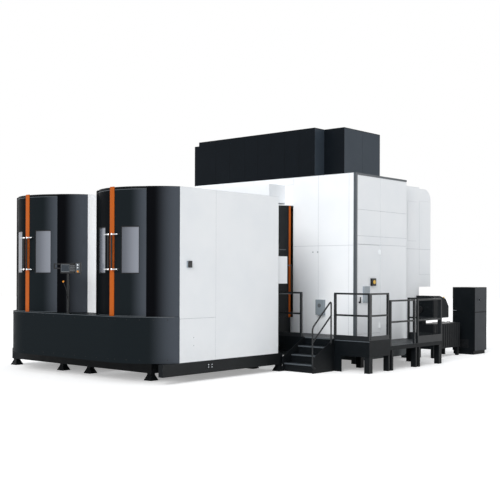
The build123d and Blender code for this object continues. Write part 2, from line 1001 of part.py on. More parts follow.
# Rounded sill below the operator door, standing on the walkway
with BuildPart() as operator_sill:
    with BuildSketch(operator_axis.offset(walkway_height)):
        add(
            ring_sector(
                operator_inner - leaf_rim, operator_radius, -operator_half_angle, operator_half_angle
            )
        )
    extrude(amount=operator_bottom - walkway_height)
    split(bisect_by=facing_front(body_front - seat), keep=Keep.TOP)
keep("operator_sill", operator_sill)

# Access door with its hinge barrels, and the lever that locks it
hinge_x = body_right + seat + hinge_diameter / 2
hinge_y = access_back
hinge_heights = (access_bottom + hinge_length, access_top - 2 * hinge_length)
lever_y = access_front + lever_setback
with BuildPart() as access_door:
    with BuildSketch(facing_right(body_right - access_sheet)):
        rectangle(
            access_front + door_gap,
            access_back - door_gap,
            access_bottom + door_gap,
            access_top - door_gap,
        )
    extrude(amount=access_sheet)
    with BuildSketch(facing_right(body_right)):
        y = access_front + interlock_start
        rectangle(y, y + interlock_width, interlock_bottom, interlock_top)
    extrude(amount=interlock_rise)
    with BuildSketch(facing_right(body_right)):
        y = access_front + lamp_start
        rectangle(y, y + lamp_width, lamp_bottom, lamp_top)
    extrude(amount=lamp_rise)
    with BuildSketch(facing_right(body_right)):
        with Locations((lever_y, lever_height)):
            Circle(lever_shaft / 2 + running_gap)
    extrude(amount=-access_sheet, mode=Mode.SUBTRACT)
    for z in hinge_heights:
        with BuildSketch(Plane((hinge_x, hinge_y, z))):
            Circle(hinge_diameter / 2)
        extrude(amount=hinge_length)
        with BuildSketch(Plane.XY.offset(z)):
            strap_x = body_right + hinge_leaf
            rectangle(body_right, strap_x, hinge_y - hinge_strap, hinge_y - door_gap)
            rectangle(strap_x, hinge_x, hinge_y - hinge_diameter, hinge_y)
        extrude(amount=hinge_length)
keep("access_door", access_door)

with BuildPart() as access_lever:
    with BuildSketch(facing_right(body_right + lever_boss)):
        with Locations((lever_y, lever_height)):
            Circle(lever_shaft / 2)
    extrude(amount=-access_sheet - lever_boss)
    with BuildSketch(facing_right(body_right + seat)):
        with Locations((lever_y, lever_height)):
            Circle(lever_shaft)
    extrude(amount=lever_boss - seat)
    with BuildSketch(facing_right(body_right + lever_boss)):
        with Locations((lever_y, lever_height + (lever_length - lever_width) / 2)):
            Trapezoid(lever_width, lever_length, lever_side_angle)
    extrude(amount=lever_sheet)
keep("access_door_lever", access_lever)

# Machine bed: one casting on levelling feet, with the ways of the column and of the table
column_centre = station_x + column_x
bed_front = body_front + bed_margin
bed_back = rear_back - bed_margin
bed_left = body_left + bed_margin
bed_right = body_right - bed_margin
bed_step_y = bed_front + bed_lip
bed_foot_pitch_x = (bed_right - bed_left - 2 * bed_foot_inset) / 3
bed_foot_pitch_y = bed_back - bed_step_y - 2 * bed_foot_inset
column_y = body_front + column_front
table_y = body_front + table_depth
way_top = body_bottom + way_height
with BuildPart() as machine_bed:
    with BuildSketch(Plane.XY.offset(body_bottom)):
        rectangle(bed_left, bed_right, bed_front, bed_step_y)
    extrude(amount=-(body_bottom - bed_lip_bottom))
    with BuildSketch(Plane.XY.offset(body_bottom)):
        rectangle(bed_left, bed_right, bed_step_y, body_back - bed_margin)
        rectangle(rear_left_x + bed_margin, rear_right - bed_margin, bed_step_y, bed_back)
    extrude(amount=-(body_bottom - bed_bottom))
    with BuildSketch():
        with Locations(((bed_left + bed_right) / 2, (bed_step_y + bed_back) / 2)):
            with GridLocations(bed_foot_pitch_x, bed_foot_pitch_y, 4, 2):
                Rectangle(bed_foot, bed_foot)
    extrude(amount=bed_bottom)
    with BuildSketch(Plane.XY.offset(body_bottom)):
        for offset in (way_width, column_depth - 2 * way_width):
            rectangle(
                column_centre - column_way_length / 2,
                column_centre + column_way_length / 2,
                column_y + offset,
                column_y + offset + way_width,
            )
        with Locations((column_centre, table_y + table_way_shift)):
            with GridLocations(table_way_pitch, 0, 2, 1):
                Rectangle(way_width, table_way_length)
    extrude(amount=way_height)
keep("machine_bed", machine_bed)

# Column on the rear ways, with the vertical ways of the head
with BuildPart() as column:
    with BuildSketch(Plane.XY.offset(way_top)):
        with Locations((column_centre, column_y + column_depth / 2)):
            Rectangle(column_width, column_depth)
            Rectangle(
                column_width - 2 * column_wall, column_depth - 2 * column_wall, mode=Mode.SUBTRACT
            )
    extrude(amount=column_top - way_top)
    with BuildSketch(facing_front(column_y)):
        with Locations((column_centre, (way_top + column_top) / 2)):
            with GridLocations(head_way_pitch, 0, 2, 1):
                Rectangle(way_width, column_top - way_top - 2 * head_way_margin)
    extrude(amount=way_height)
keep("column", column)

# Head that slides on the column, and its spindle
head_back = column_y - way_height
head_front = head_back - head_depth
spindle_place = Plane(
    (column_centre, head_front, spindle_height), x_dir=(1, 0, 0), z_dir=(0, -1, 0)
)
with BuildPart() as spindle_head:
    with BuildSketch(spindle_place) as head_section:
        Rectangle(head_width, head_height)
        chamfer(head_section.vertices(), length=head_corner)
    extrude(amount=-head_depth)
    with BuildSketch(spindle_place):
        Circle(spindle_diameter / 2 + collar_wall)
    extrude(amount=collar_length, taper=collar_taper)
    with BuildSketch(spindle_place.offset(collar_length)):
        Circle(spindle_diameter / 2 + running_gap)
    extrude(amount=-head_depth / 2 - collar_length, mode=Mode.SUBTRACT)
keep("spindle_head", spindle_head)

with BuildPart() as spindle:
    with BuildSketch(spindle_place.offset(collar_length)):
        Circle(spindle_diameter / 2)
    extrude(amount=-head_depth / 2)
    with BuildSketch(spindle_place.offset(collar_length)):
        Circle(spindle_nose / 2)
    extrude(amount=spindle_nose_length)
    with BuildSketch(spindle_place.offset(collar_length + spindle_nose_length)):
        Circle(spindle_bore / 2)
    extrude(amount=-spindle_reach, mode=Mode.SUBTRACT)
keep("spindle", spindle)

# Table: a saddle on the front ways and a rotary table on it
with BuildPart() as saddle:
    with BuildSketch(Plane((column_centre, table_y, way_top))):
        Rectangle(saddle_width, saddle_width)
    extrude(amount=saddle_height)
    chamfer(saddle.edges().filter_by(Axis.Z), length=saddle_corner)
keep("table_saddle", saddle)

with BuildPart() as rotary_table:
    with BuildSketch(Plane((column_centre, table_y, way_top + saddle_height))):
        Circle(table_hub / 2)
    extrude(amount=table_height - pallet_height)
    with BuildSketch(Plane((column_centre, table_y, way_top + saddle_height + table_height))):
        Rectangle(pallet_size, pallet_size)
    extrude(amount=-pallet_height)
    chamfer(rotary_table.edges().filter_by(Axis.Z), length=pallet_corner)
keep("rotary_table", rotary_table)

# Tool magazine: a rounded housing behind, with its disc of tools on an axle
magazine_back = rear_back + magazine_depth
magazine_left = rear_right - magazine_width
magazine_top = rear_top - magazine_drop
magazine_x = rear_right - magazine_width / 2
magazine_z = (magazine_bottom + magazine_top) / 2


def magazine_outline(inset):
    """Housing seen from the right, with its upper rear corner rounded, inset by a wall."""
    back = magazine_back - inset
    top = magazine_top - inset
    with BuildSketch() as outline:
        rectangle(rear_back, back, magazine_bottom + inset, top)
        fillet(outline.vertices().group_by(Axis.X)[-1].sort_by(Axis.Y)[-1], magazine_round - inset)
    return outline.sketch


with BuildPart() as magazine_housing:
    with BuildSketch(facing_right(magazine_left)):
        add(magazine_outline(0))
    extrude(amount=magazine_width)
    with BuildSketch(facing_right(magazine_left + magazine_wall)):
        add(magazine_outline(magazine_wall))
    extrude(amount=magazine_width - 2 * magazine_wall, mode=Mode.SUBTRACT)
    with BuildSketch(facing_front(magazine_back - magazine_wall)):
        with Locations((magazine_x, magazine_z)):
            Circle(disc_axle / 2)
    extrude(amount=magazine_depth - magazine_wall - seat)
keep("magazine_housing", magazine_housing)

disc_plane = facing_front(rear_back + magazine_depth / 2)
with BuildPart() as disc:
    with BuildSketch(disc_plane):
        with Locations((magazine_x, magazine_z)):
            Circle(disc_radius)
            Circle(disc_axle / 2 + running_gap, mode=Mode.SUBTRACT)
    extrude(amount=disc_sheet)
    with BuildSketch(disc_plane.offset(disc_sheet)):
        with Locations((magazine_x, magazine_z)):
            with PolarLocations(disc_radius - tool_diameter, tool_count):
                RegularPolygon(radius=tool_diameter / 2, side_count=tool_sides)
    extrude(amount=tool_length)
keep("magazine_disc", disc)

# Walkway: chequered deck with a folded rim, and an apron down to the floor beside the stair
stair_x = station_x + stair_left
stair_right = stair_x + stair_width
deck_back = body_front - corner_trim_sheet
with BuildPart() as walkway:
    with BuildSketch(Plane.XY.offset(walkway_height)):
        rectangle(station_x - walkway_left, body_right, deck_front, deck_back)
        rectangle(body_right, deck_right, deck_front, deck_step_y)
    extrude(amount=-deck_sheet)
    with BuildSketch(Plane.XY.offset(walkway_height - deck_sheet)):
        rectangle(station_x - walkway_left, deck_right, deck_front, deck_front + fascia_sheet)
        rectangle(deck_right - fascia_sheet, deck_right, deck_front, deck_step_y)
    extrude(amount=-(fascia_drop - deck_sheet))
    with BuildSketch(Plane.XY.offset(walkway_height - deck_sheet)):
        rectangle(stair_right, stair_right + apron_width, deck_front, deck_front + fascia_sheet)
    extrude(amount=-(walkway_height - deck_sheet))
keep("walkway_deck", walkway)

# Legs inside the rims: square ones at the corners, pairs of half width where two frames meet
leg_x = deck_right - fascia_sheet - seat - leg_size
leg_front = deck_front + fascia_sheet + seat
middle_leg_x = stair_right - leg_size / 2
walkway_leg_spots = [
    (leg_x, leg_front, leg_size),
    (leg_x, deck_step_y - leg_depth, leg_depth),
    (middle_leg_x, leg_front, leg_size),
]
for x in (stair_x - leg_size, station_x - middle_leg_reach, station_x - walkway_left):
    walkway_leg_spots += [(x, leg_front, leg_size), (x, deck_back - leg_size, leg_size)]
lower_leg_spots = [
    (middle_leg_x, deck_back - leg_size, leg_size),
    (leg_x, deck_step_y - leg_depth + leg_pair_pitch, leg_depth),
    (leg_x, joint_y - leg_depth / 2, leg_depth),
    (leg_x, joint_y - leg_depth / 2 + leg_pair_pitch, leg_depth),
    (leg_x, lower_back - fascia_sheet - seat - leg_size, leg_size),
    (station_x + end_post_reach, lower_back - fascia_sheet - seat - leg_size, leg_size),
]
with BuildPart() as legs:
    for height, spots in ((walkway_height, walkway_leg_spots), (lower_height, lower_leg_spots)):
        with BuildSketch():
            for x, y, depth in spots:
                rectangle(x, x + leg_size, y, y + depth)
        extrude(amount=height - deck_sheet)
keep("walkway_legs", legs)

# Lower deck along the right wall, with a low rim outside and at its end
with BuildPart() as lower_deck:
    with BuildSketch(Plane.XY.offset(lower_height)):
        rectangle(
            body_right + corner_trim_sheet + seat, deck_right, deck_step_y + seat, lower_back
        )
    extrude(amount=-deck_sheet)
    with BuildSketch(Plane.XY.offset(lower_height - deck_sheet)):
        rectangle(deck_right - fascia_sheet, deck_right, deck_step_y + seat, lower_back)
        rectangle(
            body_right + corner_trim_sheet + seat, deck_right, lower_back - fascia_sheet, lower_back
        )
    extrude(amount=-(lower_drop - deck_sheet))
keep("lower_deck", lower_deck)

# Stair of four closed rises between side panels that reach the floor
rise = walkway_height / stair_steps
tread_run = stair_run / (stair_steps - 1)
tread_depth = tread_run + riser_setback + riser_sheet
stair_front = deck_front - stair_run
stair_back = deck_front - seat
with BuildPart() as stair:
    for x in (stair_x, stair_right - stringer_sheet):
        with BuildSketch(facing_right(x)):
            with BuildLine():
                Polyline(
                    (stair_back, walkway_height),
                    (stair_back, 0),
                    (stair_front - stringer_lead, 0),
                    (stair_front - stringer_lead, rise + stringer_lift),
                    (deck_front - stringer_lead, walkway_height),
                    close=True,
                )
            make_face()
        extrude(amount=stringer_sheet)
    with BuildSketch(facing_right(stair_x + stringer_sheet)):
        for step in range(1, stair_steps):
            nose = stair_front + (step - 1) * tread_run
            tread_bottom = step * rise - tread_sheet
            rectangle(nose, min(nose + tread_depth, stair_back), tread_bottom, step * rise)
            riser_front = nose + riser_setback
            rectangle(riser_front, riser_front + riser_sheet, (step - 1) * rise, tread_bottom)
    extrude(amount=stair_width - 2 * stringer_sheet)
keep("stair", stair)

# Guard rails in straight runs: posts below a top rail, knee rails between them, a toe board outside
post_inset = post_size / 2 + toe_sheet + seat
rail_x = deck_right - post_inset
rail_y = deck_front + post_inset
left_end = station_x - walkway_left + post_inset
left_run = station_x - left_post_setback - left_end
left_posts = [(left_end + k * left_run / 3, rail_y) for k in range(4)]
corner_posts = [(stair_right - stringer_sheet / 2, rail_y), (rail_x, rail_y)]
side_posts = [(rail_x, rail_y + post_size + seat), (rail_x, deck_step_y - step_post_setback)]
near_posts = [(rail_x, deck_step_y + step_post_lead), (rail_x, joint_y - joint_post_offset)]
far_posts = [(rail_x, joint_y + joint_post_offset), (rail_x, lower_back - post_inset)]
end_posts = [
    (rail_x - post_size - seat, lower_back - post_inset),
    (station_x + end_post_reach, lower_back - post_inset),
]
railings = (
    (walkway_height, left_posts, toe_height),
    (walkway_height, corner_posts, toe_height),
    (walkway_height, side_posts, toe_height),
    (lower_height, near_posts, 0),
    (lower_height, far_posts, lower_toe_height),
    (lower_height, end_posts, lower_toe_height),
)


def run_plan(start, stop, width):
    """Rectangle of the given width along a straight run, added to the sketch in hand."""
    x, length = between(*sorted((start.X, stop.X)))
    y, depth = between(*sorted((start.Y, stop.Y)))
    with Locations((x, y)):
        Rectangle(max(length, width), max(depth, width))


with BuildPart() as guard_rails:
    for floor_height, spots, toe in railings:
        first, last = Vector(*spots[0]), Vector(*spots[-1])
        along = (last - first).normalized()
        outside = Vector(along.Y, -along.X)
        post_half = along * post_size / 2
        clear = along * (post_size / 2 + seat)
        toe_shift = outside * (post_size / 2 + seat + toe_sheet / 2)
        with BuildSketch(Plane.XY.offset(floor_height)):
            with Locations(*spots):
                Rectangle(post_size, post_size)
        extrude(amount=rail_height - rail_tube - seat)
        with BuildSketch(Plane.XY.offset(floor_height + rail_height - rail_tube)):
            run_plan(first - post_half, last + post_half, rail_tube)
        extrude(amount=rail_tube)
        with BuildSketch(Plane.XY.offset(floor_height + mid_rail_height - rail_tube / 2)):
            for start, stop in zip(spots, spots[1:]):
                run_plan(Vector(*start) + clear, Vector(*stop) - clear, rail_tube)
        extrude(amount=rail_tube)
        if toe:
            with BuildSketch(Plane.XY.offset(floor_height)):
                run_plan(first - post_half + toe_shift, last + post_half + toe_shift, toe_sheet)
            extrude(amount=toe)
keep("guard_rails", guard_rails)

# Stair handrail: a loop and a knee rail on the outside of the right stringer
handrail_x = stair_right + stair_rail_tube / 2 + seat
handrail_low_y = stair_front - handrail_lead
handrail_high_y = deck_front - handrail_setback
handrail_route = [
    (handrail_x, stair_front, handrail_foot),
    (handrail_x, handrail_low_y, handrail_foot),
    (handrail_x, handrail_low_y, handrail_low),
    (handrail_x, handrail_high_y, handrail_high),
    (handrail_x, handrail_high_y, walkway_height - rise / 2),
]
with BuildPart() as handrail:
    add(tube(handrail_route, stair_rail_tube))
    add(
        tube(
            [
                (handrail_x, handrail_low_y, handrail_low - knee_drop),
                (handrail_x, handrail_high_y, handrail_high - knee_drop),
            ],
            stair_rail_tube,
        )
    )
keep("stair_handrail", handrail)

# Coolant tank beside the rear housing, on four feet
tank_x = station_x + tank_right
tank_y = station_y + tank_front
tank_left = rear_right + seat
foot_pitch_x = tank_x - tank_left - 2 * tank_foot_inset
foot_pitch_y = tank_length - 2 * tank_foot_inset
with BuildPart() as tank:
    with BuildSketch(Plane.XY.offset(tank_bottom)):
        rectangle(tank_left, tank_x, tank_y, tank_y + tank_length)
    extrude(amount=tank_top - tank_bottom)
    with BuildSketch():
        with Locations(((tank_left + tank_x) / 2, tank_y + tank_length / 2)):
            with GridLocations(foot_pitch_x, foot_pitch_y, 2, 2):
                Rectangle(tank_foot, tank_foot)
    extrude(amount=tank_bottom)
keep("coolant_tank", tank)

# Chip conveyor head: a bevelled hood on a chute and a post over the tank
conveyor_end = station_y + conveyor_back
conveyor_profile = [
    (tank_y, conveyor_bottom),
    (conveyor_end, conveyor_bottom),
    (conveyor_end, conveyor_shoulder),
    (tank_y + conveyor_bevel_run, conveyor_bevel),
    (tank_y + conveyor_top_run, conveyor_top),
    (tank_y, conveyor_top),
]
post_y = tank_y + conveyor_post_run
with BuildPart() as conveyor:
    with BuildSketch(facing_right(tank_left)):
        with BuildLine():
            Polyline(*conveyor_profile, close=True)
        make_face()
    extrude(amount=tank_x - tank_left)
    with BuildSketch(Plane.XY.offset(tank_top)):
        rectangle(tank_left, tank_left + chute_size, tank_y, tank_y + chute_size)
        rectangle(tank_x - conveyor_post, tank_x, post_y, post_y + conveyor_post)
    extrude(amount=conveyor_bottom - tank_top)
keep("chip_conveyor", conveyor)

# Electrical cabinet: a shell open to the right, its door and the isolator knob on the door
cabinet_x = station_x + cabinet_left
cabinet_y = station_y + cabinet_front
cabinet_back_y = cabinet_y + cabinet_depth
cabinet_end_x = cabinet_x + cabinet_width
cabinet_mouth_x = cabinet_end_x - cabinet_door_sheet
with BuildPart() as cabinet:
    with BuildSketch(Plane.XY.offset(cabinet_plinth)):
        rectangle(cabinet_x, cabinet_mouth_x, cabinet_y, cabinet_back_y)
    extrude(amount=cabinet_height - cabinet_plinth)
    with BuildSketch(facing_right(cabinet_mouth_x)):
        rectangle(
            cabinet_y + cabinet_sheet,
            cabinet_back_y - cabinet_sheet,
            cabinet_plinth + cabinet_sheet,
            cabinet_height - cabinet_sheet,
        )
    extrude(amount=-(cabinet_width - cabinet_door_sheet - cabinet_sheet), mode=Mode.SUBTRACT)
    with BuildSketch():
        rectangle(
            cabinet_x + cabinet_sheet,
            cabinet_mouth_x - cabinet_sheet,
            cabinet_y + cabinet_sheet,
            cabinet_back_y - cabinet_sheet,
        )
    extrude(amount=cabinet_plinth)
keep("electrical_cabinet", cabinet)

knob_y = cabinet_y + knob_setback
knob_shaft = knob_diameter / 4
with BuildPart() as cabinet_door:
    with BuildSketch(facing_right(cabinet_mouth_x + seat)):
        rectangle(
            cabinet_y + cabinet_door_gap,
            cabinet_back_y - cabinet_door_gap,
            cabinet_plinth + cabinet_door_gap,
            cabinet_height - cabinet_door_gap,
        )
        with Locations((knob_y, knob_height)):
            Circle(knob_shaft + running_gap, mode=Mode.SUBTRACT)
    extrude(amount=cabinet_door_sheet - seat)
keep("cabinet_door", cabinet_door)

with BuildPart() as knob:
    with BuildSketch(facing_right(cabinet_end_x)):
        with Locations((knob_y, knob_height)):
            Circle(knob_diameter / 2)
    extrude(amount=knob_rise)
    with BuildSketch(facing_right(cabinet_end_x)):
        with Locations((knob_y, knob_height)):
            Circle(knob_shaft)
    extrude(amount=-cabinet_door_sheet / 2)
keep("isolator_knob", knob)

# Boxes on the right station wall, on the enclosure front and on the rear of the stations
with BuildPart() as wall_boxes:
    start, stop, low, high, rise_out = station_box
    with BuildSketch(facing_right(station_x)):
        rectangle(station_y + start, station_y + stop, low, high)
    extrude(amount=rise_out)
    for wall_y, box, way in (
        (body_front, service_box, 1),
        (station_back, cable_box, -1),
    ):
        start, stop, low, high, rise_out = box
        with BuildSketch(facing_front(wall_y)):
            rectangle(station_x + start, station_x + stop, low, high)
        extrude(amount=way * rise_out)
keep("wall_boxes", wall_boxes)

for name, piece in nodes.items():
    export_step(piece, f"parts/{name}.step")
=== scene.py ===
# %% [markdown]
# # A machining centre with two loading stations, dressed in Blender
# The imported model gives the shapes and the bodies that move. This file leaves those shapes
# where they are, gives each of them a finish, and adds the sheet-metal skins, handles,
# fasteners and trim that make the difference between a solid and a machine.

# %% Load the frame
import math

import bmesh
import bpy
from mathutils import Matrix, Vector


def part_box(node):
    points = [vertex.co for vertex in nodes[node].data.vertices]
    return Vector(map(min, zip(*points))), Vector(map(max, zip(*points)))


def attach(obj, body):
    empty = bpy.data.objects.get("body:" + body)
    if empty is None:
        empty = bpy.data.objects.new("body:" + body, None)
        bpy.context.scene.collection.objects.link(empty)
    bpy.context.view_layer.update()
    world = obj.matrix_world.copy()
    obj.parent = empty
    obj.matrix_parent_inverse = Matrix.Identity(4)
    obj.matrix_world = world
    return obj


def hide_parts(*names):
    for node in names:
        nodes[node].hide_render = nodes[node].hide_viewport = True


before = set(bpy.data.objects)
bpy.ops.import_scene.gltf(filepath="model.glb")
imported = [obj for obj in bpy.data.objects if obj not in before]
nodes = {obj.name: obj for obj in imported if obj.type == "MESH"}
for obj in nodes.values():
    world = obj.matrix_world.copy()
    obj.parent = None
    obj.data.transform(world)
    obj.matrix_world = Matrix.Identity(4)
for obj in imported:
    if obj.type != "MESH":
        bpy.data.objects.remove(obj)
scene = bpy.context.scene
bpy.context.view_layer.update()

# %% [markdown]
# ## View, floor and background
# A product picture stands on white without an edge between floor and wall. The world could be
# a bright white that also lights the object, but then white sheet metal loses its shading.
# So Light Path splits it: camera, glossy and transmission rays see white at strength 1, and
# the light that falls on the machine is softer. The floor works the same way: it shows white to
# the camera, darkened only where the machine's shadow falls.

# %% Scene helpers


def add_node(tree, kind, inputs=None, **settings):
    """Adds a shader node. Each input gets a value, or a link where an output socket is given."""
    made = tree.nodes.new("ShaderNode" + kind)
    for name, value in settings.items():
        setattr(made, name, value)
    for key, value in (inputs or {}).items():
        if isinstance(value, bpy.types.NodeSocket):
            tree.links.new(value, made.inputs[key])
        else:
            made.inputs[key].default_value = value
    return made


def put(name, data):
    """Puts a new object with that data in the scene."""
    made = bpy.data.objects.new(name, data)
    scene.collection.objects.link(made)
    return made


white = (1.0, 1.0, 1.0, 1.0)
print("helpers for", scene.name)

# %% World
scene.view_settings.view_transform = "Standard"
world = bpy.data.worlds.new("studio")
scene.world = world
world.use_nodes = True
tree = world.node_tree
tree.nodes.clear()
ray = add_node(tree, "LightPath").outputs
seen = add_node(tree, "Background", {"Color": white, "Strength": 1.0}).outputs[0]
soft_white = (0.96, 0.98, 1.0, 1.0)
fill = add_node(tree, "Background", {"Color": soft_white, "Strength": 0.60}).outputs[0]
bounced = add_node(
    tree, "Math", {0: ray["Is Glossy Ray"], 1: ray["Is Transmission Ray"]}, operation="MAXIMUM"
)
shown = add_node(
    tree, "Math", {0: bounced.outputs[0], 1: ray["Is Camera Ray"]}, operation="MAXIMUM"
)
pick = add_node(tree, "MixShader", {0: shown.outputs[0], 1: fill, 2: seen})
add_node(tree, "OutputWorld", {"Surface": pick.outputs[0]})
print("world set")

# %% Floor
floor_shape = bmesh.new()
bmesh.ops.create_grid(floor_shape, x_segments=1, y_segments=1, size=60.0)
floor_mesh = bpy.data.meshes.new("floor")
floor_shape.to_mesh(floor_mesh)
floor_shape.free()
floor = put("floor", floor_mesh)

floor_finish = bpy.data.materials.new("pale_floor")
floor_finish.use_nodes = True
tree = floor_finish.node_tree
tree.nodes.clear()
concrete = add_node(tree, "BsdfDiffuse", {"Color": (0.9, 0.9, 0.9, 1.0)}).outputs[0]
lifted = add_node(tree, "Emission", {"Color": white, "Strength": 0.32}).outputs[0]
both = add_node(tree, "AddShader", {0: concrete, 1: lifted}).outputs[0]
to_camera = add_node(tree, "LightPath").outputs["Is Camera Ray"]
choose = add_node(tree, "MixShader", {0: to_camera, 1: concrete, 2: both})
add_node(tree, "OutputMaterial", {"Surface": choose.outputs[0]})
floor_mesh.materials.append(floor_finish)
print("floor laid")

# %% [markdown]
# ## Light
# A soft key from the front makes the white fronts the brightest faces, and the world's fill
# lights the side walls a little less. Two long boxes to the right are seen only in reflections:
# they put the sheen on black paint and polished metal without flattening the shading. A weak
# lamp behind keeps the back from going flat.

# %% Lamps


def soft_lamp(name, place, aim, size, power):
    """A rectangular lamp that looks from one point to another."""
    data = bpy.data.lights.new(name, "AREA")
    data.shape = "RECTANGLE"
    data.size, data.size_y = size
    data.energy = power
    lamp = put(name, data)
    lamp.location = place
    lamp.rotation_euler = (Vector(aim) - Vector(place)).to_track_quat("-Z", "Y").to_euler()
    return lamp


key = bpy.data.lights.new("key", "SUN")
key.energy = 2.2
key.angle = math.radians(35)
key_lamp = put("key", key)
key_lamp.rotation_euler = Vector((-0.26, 1.0, -0.60)).to_track_quat("-Z", "Y").to_euler()
side_lamp = soft_lamp("side_box", (21.0, 6.0, 5.0), (2.0, -1.0, 2.0), (22.0, 9.0), 3600.0)
turn_lamp = soft_lamp("turn_box", (20.0, -15.0, 5.0), (1.0, -4.0, 2.0), (18.0, 9.0), 3000.0)
for box in (side_lamp, turn_lamp):
    box.visible_diffuse = False
back_lamp = soft_lamp("back_box", (-8.0, 18.0, 8.0), (0.0, 0.0, 2.0), (10.0, 6.0), 500.0)
print("lamps", key_lamp.name, side_lamp.name, turn_lamp.name, back_lamp.name)

# %% [markdown]
# ## Camera
# The place and the lens come from the photograph's perspective: the guard rail's height and the
# stair's rises give the scale, and the vanishing points give the turn of 41 degrees. A small
# vertical shift keeps the uprights parallel, as an architectural photograph does.

# %% Camera
wall_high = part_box("station_walls")[1]
station_depth, eye_right, eye_ahead, eye_height = 3.290, 13.391, 13.137, 2.30
camera_data = bpy.data.cameras.new("camera")
camera = put("camera", camera_data)
camera_data.sensor_width = 36.0
camera_data.lens = 64.44
camera_data.shift_y = 0.048
turn = math.radians(41)
straight = Vector((-math.sin(turn), math.cos(turn), 0.0)).to_track_quat("-Z", "Y")
camera.location = (wall_high.x + eye_right, wall_high.y - station_depth - eye_ahead, eye_height)
tilt = Matrix.Rotation(0.0036, 4, "Z")
camera.rotation_euler = (straight.to_matrix().to_4x4() @ tilt).to_euler()
scene.camera = camera
print("camera at", [round(value, 2) for value in camera.location])

# %% [markdown]
# ## Finishes
# Nearly everything on this machine is painted sheet, so one helper makes a coating and the finishes
# differ in their numbers. A flat colour would look like plastic film: real powder coat drifts a
# little in shade over a metre, shines unevenly where it has been wiped, and has a fine orange-peel
# grain. Each of those is a noise at its own scale, read from Object coordinates, so it stays on the
# metal when a door moves. Dust settles low down, so a second colour comes in towards the floor. The
# walls in the gap between the stations get a lighter white and a faint glow of their own: painted
# light in place of the many reflections that light such a narrow white gap.

# %% Colour helper


def tone(code):
    """Linear colour of a hexadecimal sRGB code."""
    parts = [int(code[k : k + 2], 16) / 255 for k in (0, 2, 4)]
    return [((p + 0.055) / 1.055) ** 2.4 if p > 0.04045 else p / 12.92 for p in parts] + [1.0]


def noise(tree, place, scale, detail=3.0):
    """A noise field over the given coordinates."""
    inputs = {"Vector": place, "Scale": scale, "Detail": detail}
    return add_node(tree, "TexNoise", inputs).outputs["Fac"]


def spread(tree, value, low, high, source=(0.3, 0.7), **settings):
    """The value carried from the source range to low..high."""
    ends = {"From Min": source[0], "From Max": source[1], "To Min": low, "To Max": high}
    return add_node(tree, "MapRange", {"Value": value, **ends}, **settings).outputs["Result"]


def blend_colours(tree, factor, first, second):
    """Mixes two colours, each a list or another node's output."""
    inputs = {"Factor": factor, "A": first, "B": second}
    return add_node(tree, "Mix", inputs, data_type="RGBA").outputs["Result"]


def relief(tree, height, distance, strength=1.0):
    """Gives the finish a bump."""
    inputs = {"Height": height, "Distance": distance, "Strength": strength}
    bump = add_node(tree, "Bump", inputs)
    tree.links.new(bump.outputs["Normal"], tree.nodes["Principled BSDF"].inputs["Normal"])


print("white sheet is", [round(part, 3) for part in tone("eceef1")[:3]])

# %% Coating helper


def coating(name, colour, shade, gloss, grain=(700.0, 0.00012), metal=0.0, shine=0.5, dust=None):
    """A finish that drifts between two shades, with uneven gloss, a fine grain and dust below."""
    finish = bpy.data.materials.new(name)
    finish.use_nodes = True
    tree = finish.node_tree
    shader = tree.nodes["Principled BSDF"].inputs
    shader["Metallic"].default_value = metal
    shader["Specular IOR Level"].default_value = shine
    place = add_node(tree, "TexCoord").outputs["Object"]
    drift = spread(tree, noise(tree, place, 1.3), 0.0, 1.0)
    painted = blend_colours(tree, drift, tone(colour), tone(shade))
    if dust:
        height = add_node(tree, "SeparateXYZ", {0: place}).outputs["Z"]
        low = spread(tree, height, 0.30, 0.0, (0.0, dust[1]))
        specks = {0: low, 1: noise(tree, place, 9.0, 6.0)}
        speck = add_node(tree, "Math", specks, operation="MULTIPLY").outputs[0]
        painted = blend_colours(tree, speck, painted, tone(dust[0]))
    tree.links.new(painted, shader["Base Color"])
    smear = spread(tree, noise(tree, place, 4.0, 5.0), gloss[0], gloss[1])
    tree.links.new(smear, shader["Roughness"])
    relief(tree, noise(tree, place, grain[0], 2.0), grain[1], 0.6)
    return finish


white_sheet = coating(
    "white_sheet", "eff1f3", "eaedf0", (0.48, 0.60), shine=0.3, dust=("c4c0b8", 0.9)
)
black_sheet = coating(
    "black_sheet", "0b0f12", "0d1114", (0.36, 0.46), shine=0.08, dust=("1c1d1d", 0.4)
)
roof_sheet = coating("roof_sheet", "0c1116", "0e1318", (0.40, 0.48), shine=0.06)
# Lighter copies of the black for sides that face right: painted light where the side turns to the
# lamps.
painted_lit_side_sheet = coating("painted_lit_side_sheet", "333c45", "363f48", (0.36, 0.46), shine=0.10)
cabinet_painted_lit_side = coating("cabinet_painted_lit_side", "35383c", "383b3f", (0.36, 0.46), shine=0.10)
signal_orange = coating("signal_orange", "ae520a", "a84f0b", (0.30, 0.40), shine=0.15)
# The walls of the gap: a lighter white with a faint glow, painted light for light bounced in the
# gap.
inner_sheet_painted_light = coating("inner_sheet_painted_light", "f6f7f8", "f2f3f5", (0.48, 0.60), shine=0.3)
glow = inner_sheet_painted_light.node_tree.nodes["Principled BSDF"].inputs
glow["Emission Color"].default_value = white
glow["Emission Strength"].default_value = 0.15
box_enamel = coating("box_enamel", "8d979d", "87919a", (0.38, 0.48))
trim_grey = coating("trim_grey", "4c5257", "474d52", (0.32, 0.44), shine=0.3)
frame_black = coating(
    "frame_black", "0d1114", "0a0e11", (0.42, 0.55), shine=0.12, dust=("1e1f1e", 0.3)
)
tube_black = coating("tube_black", "14181b", "101316", (0.35, 0.45), shine=0.25)
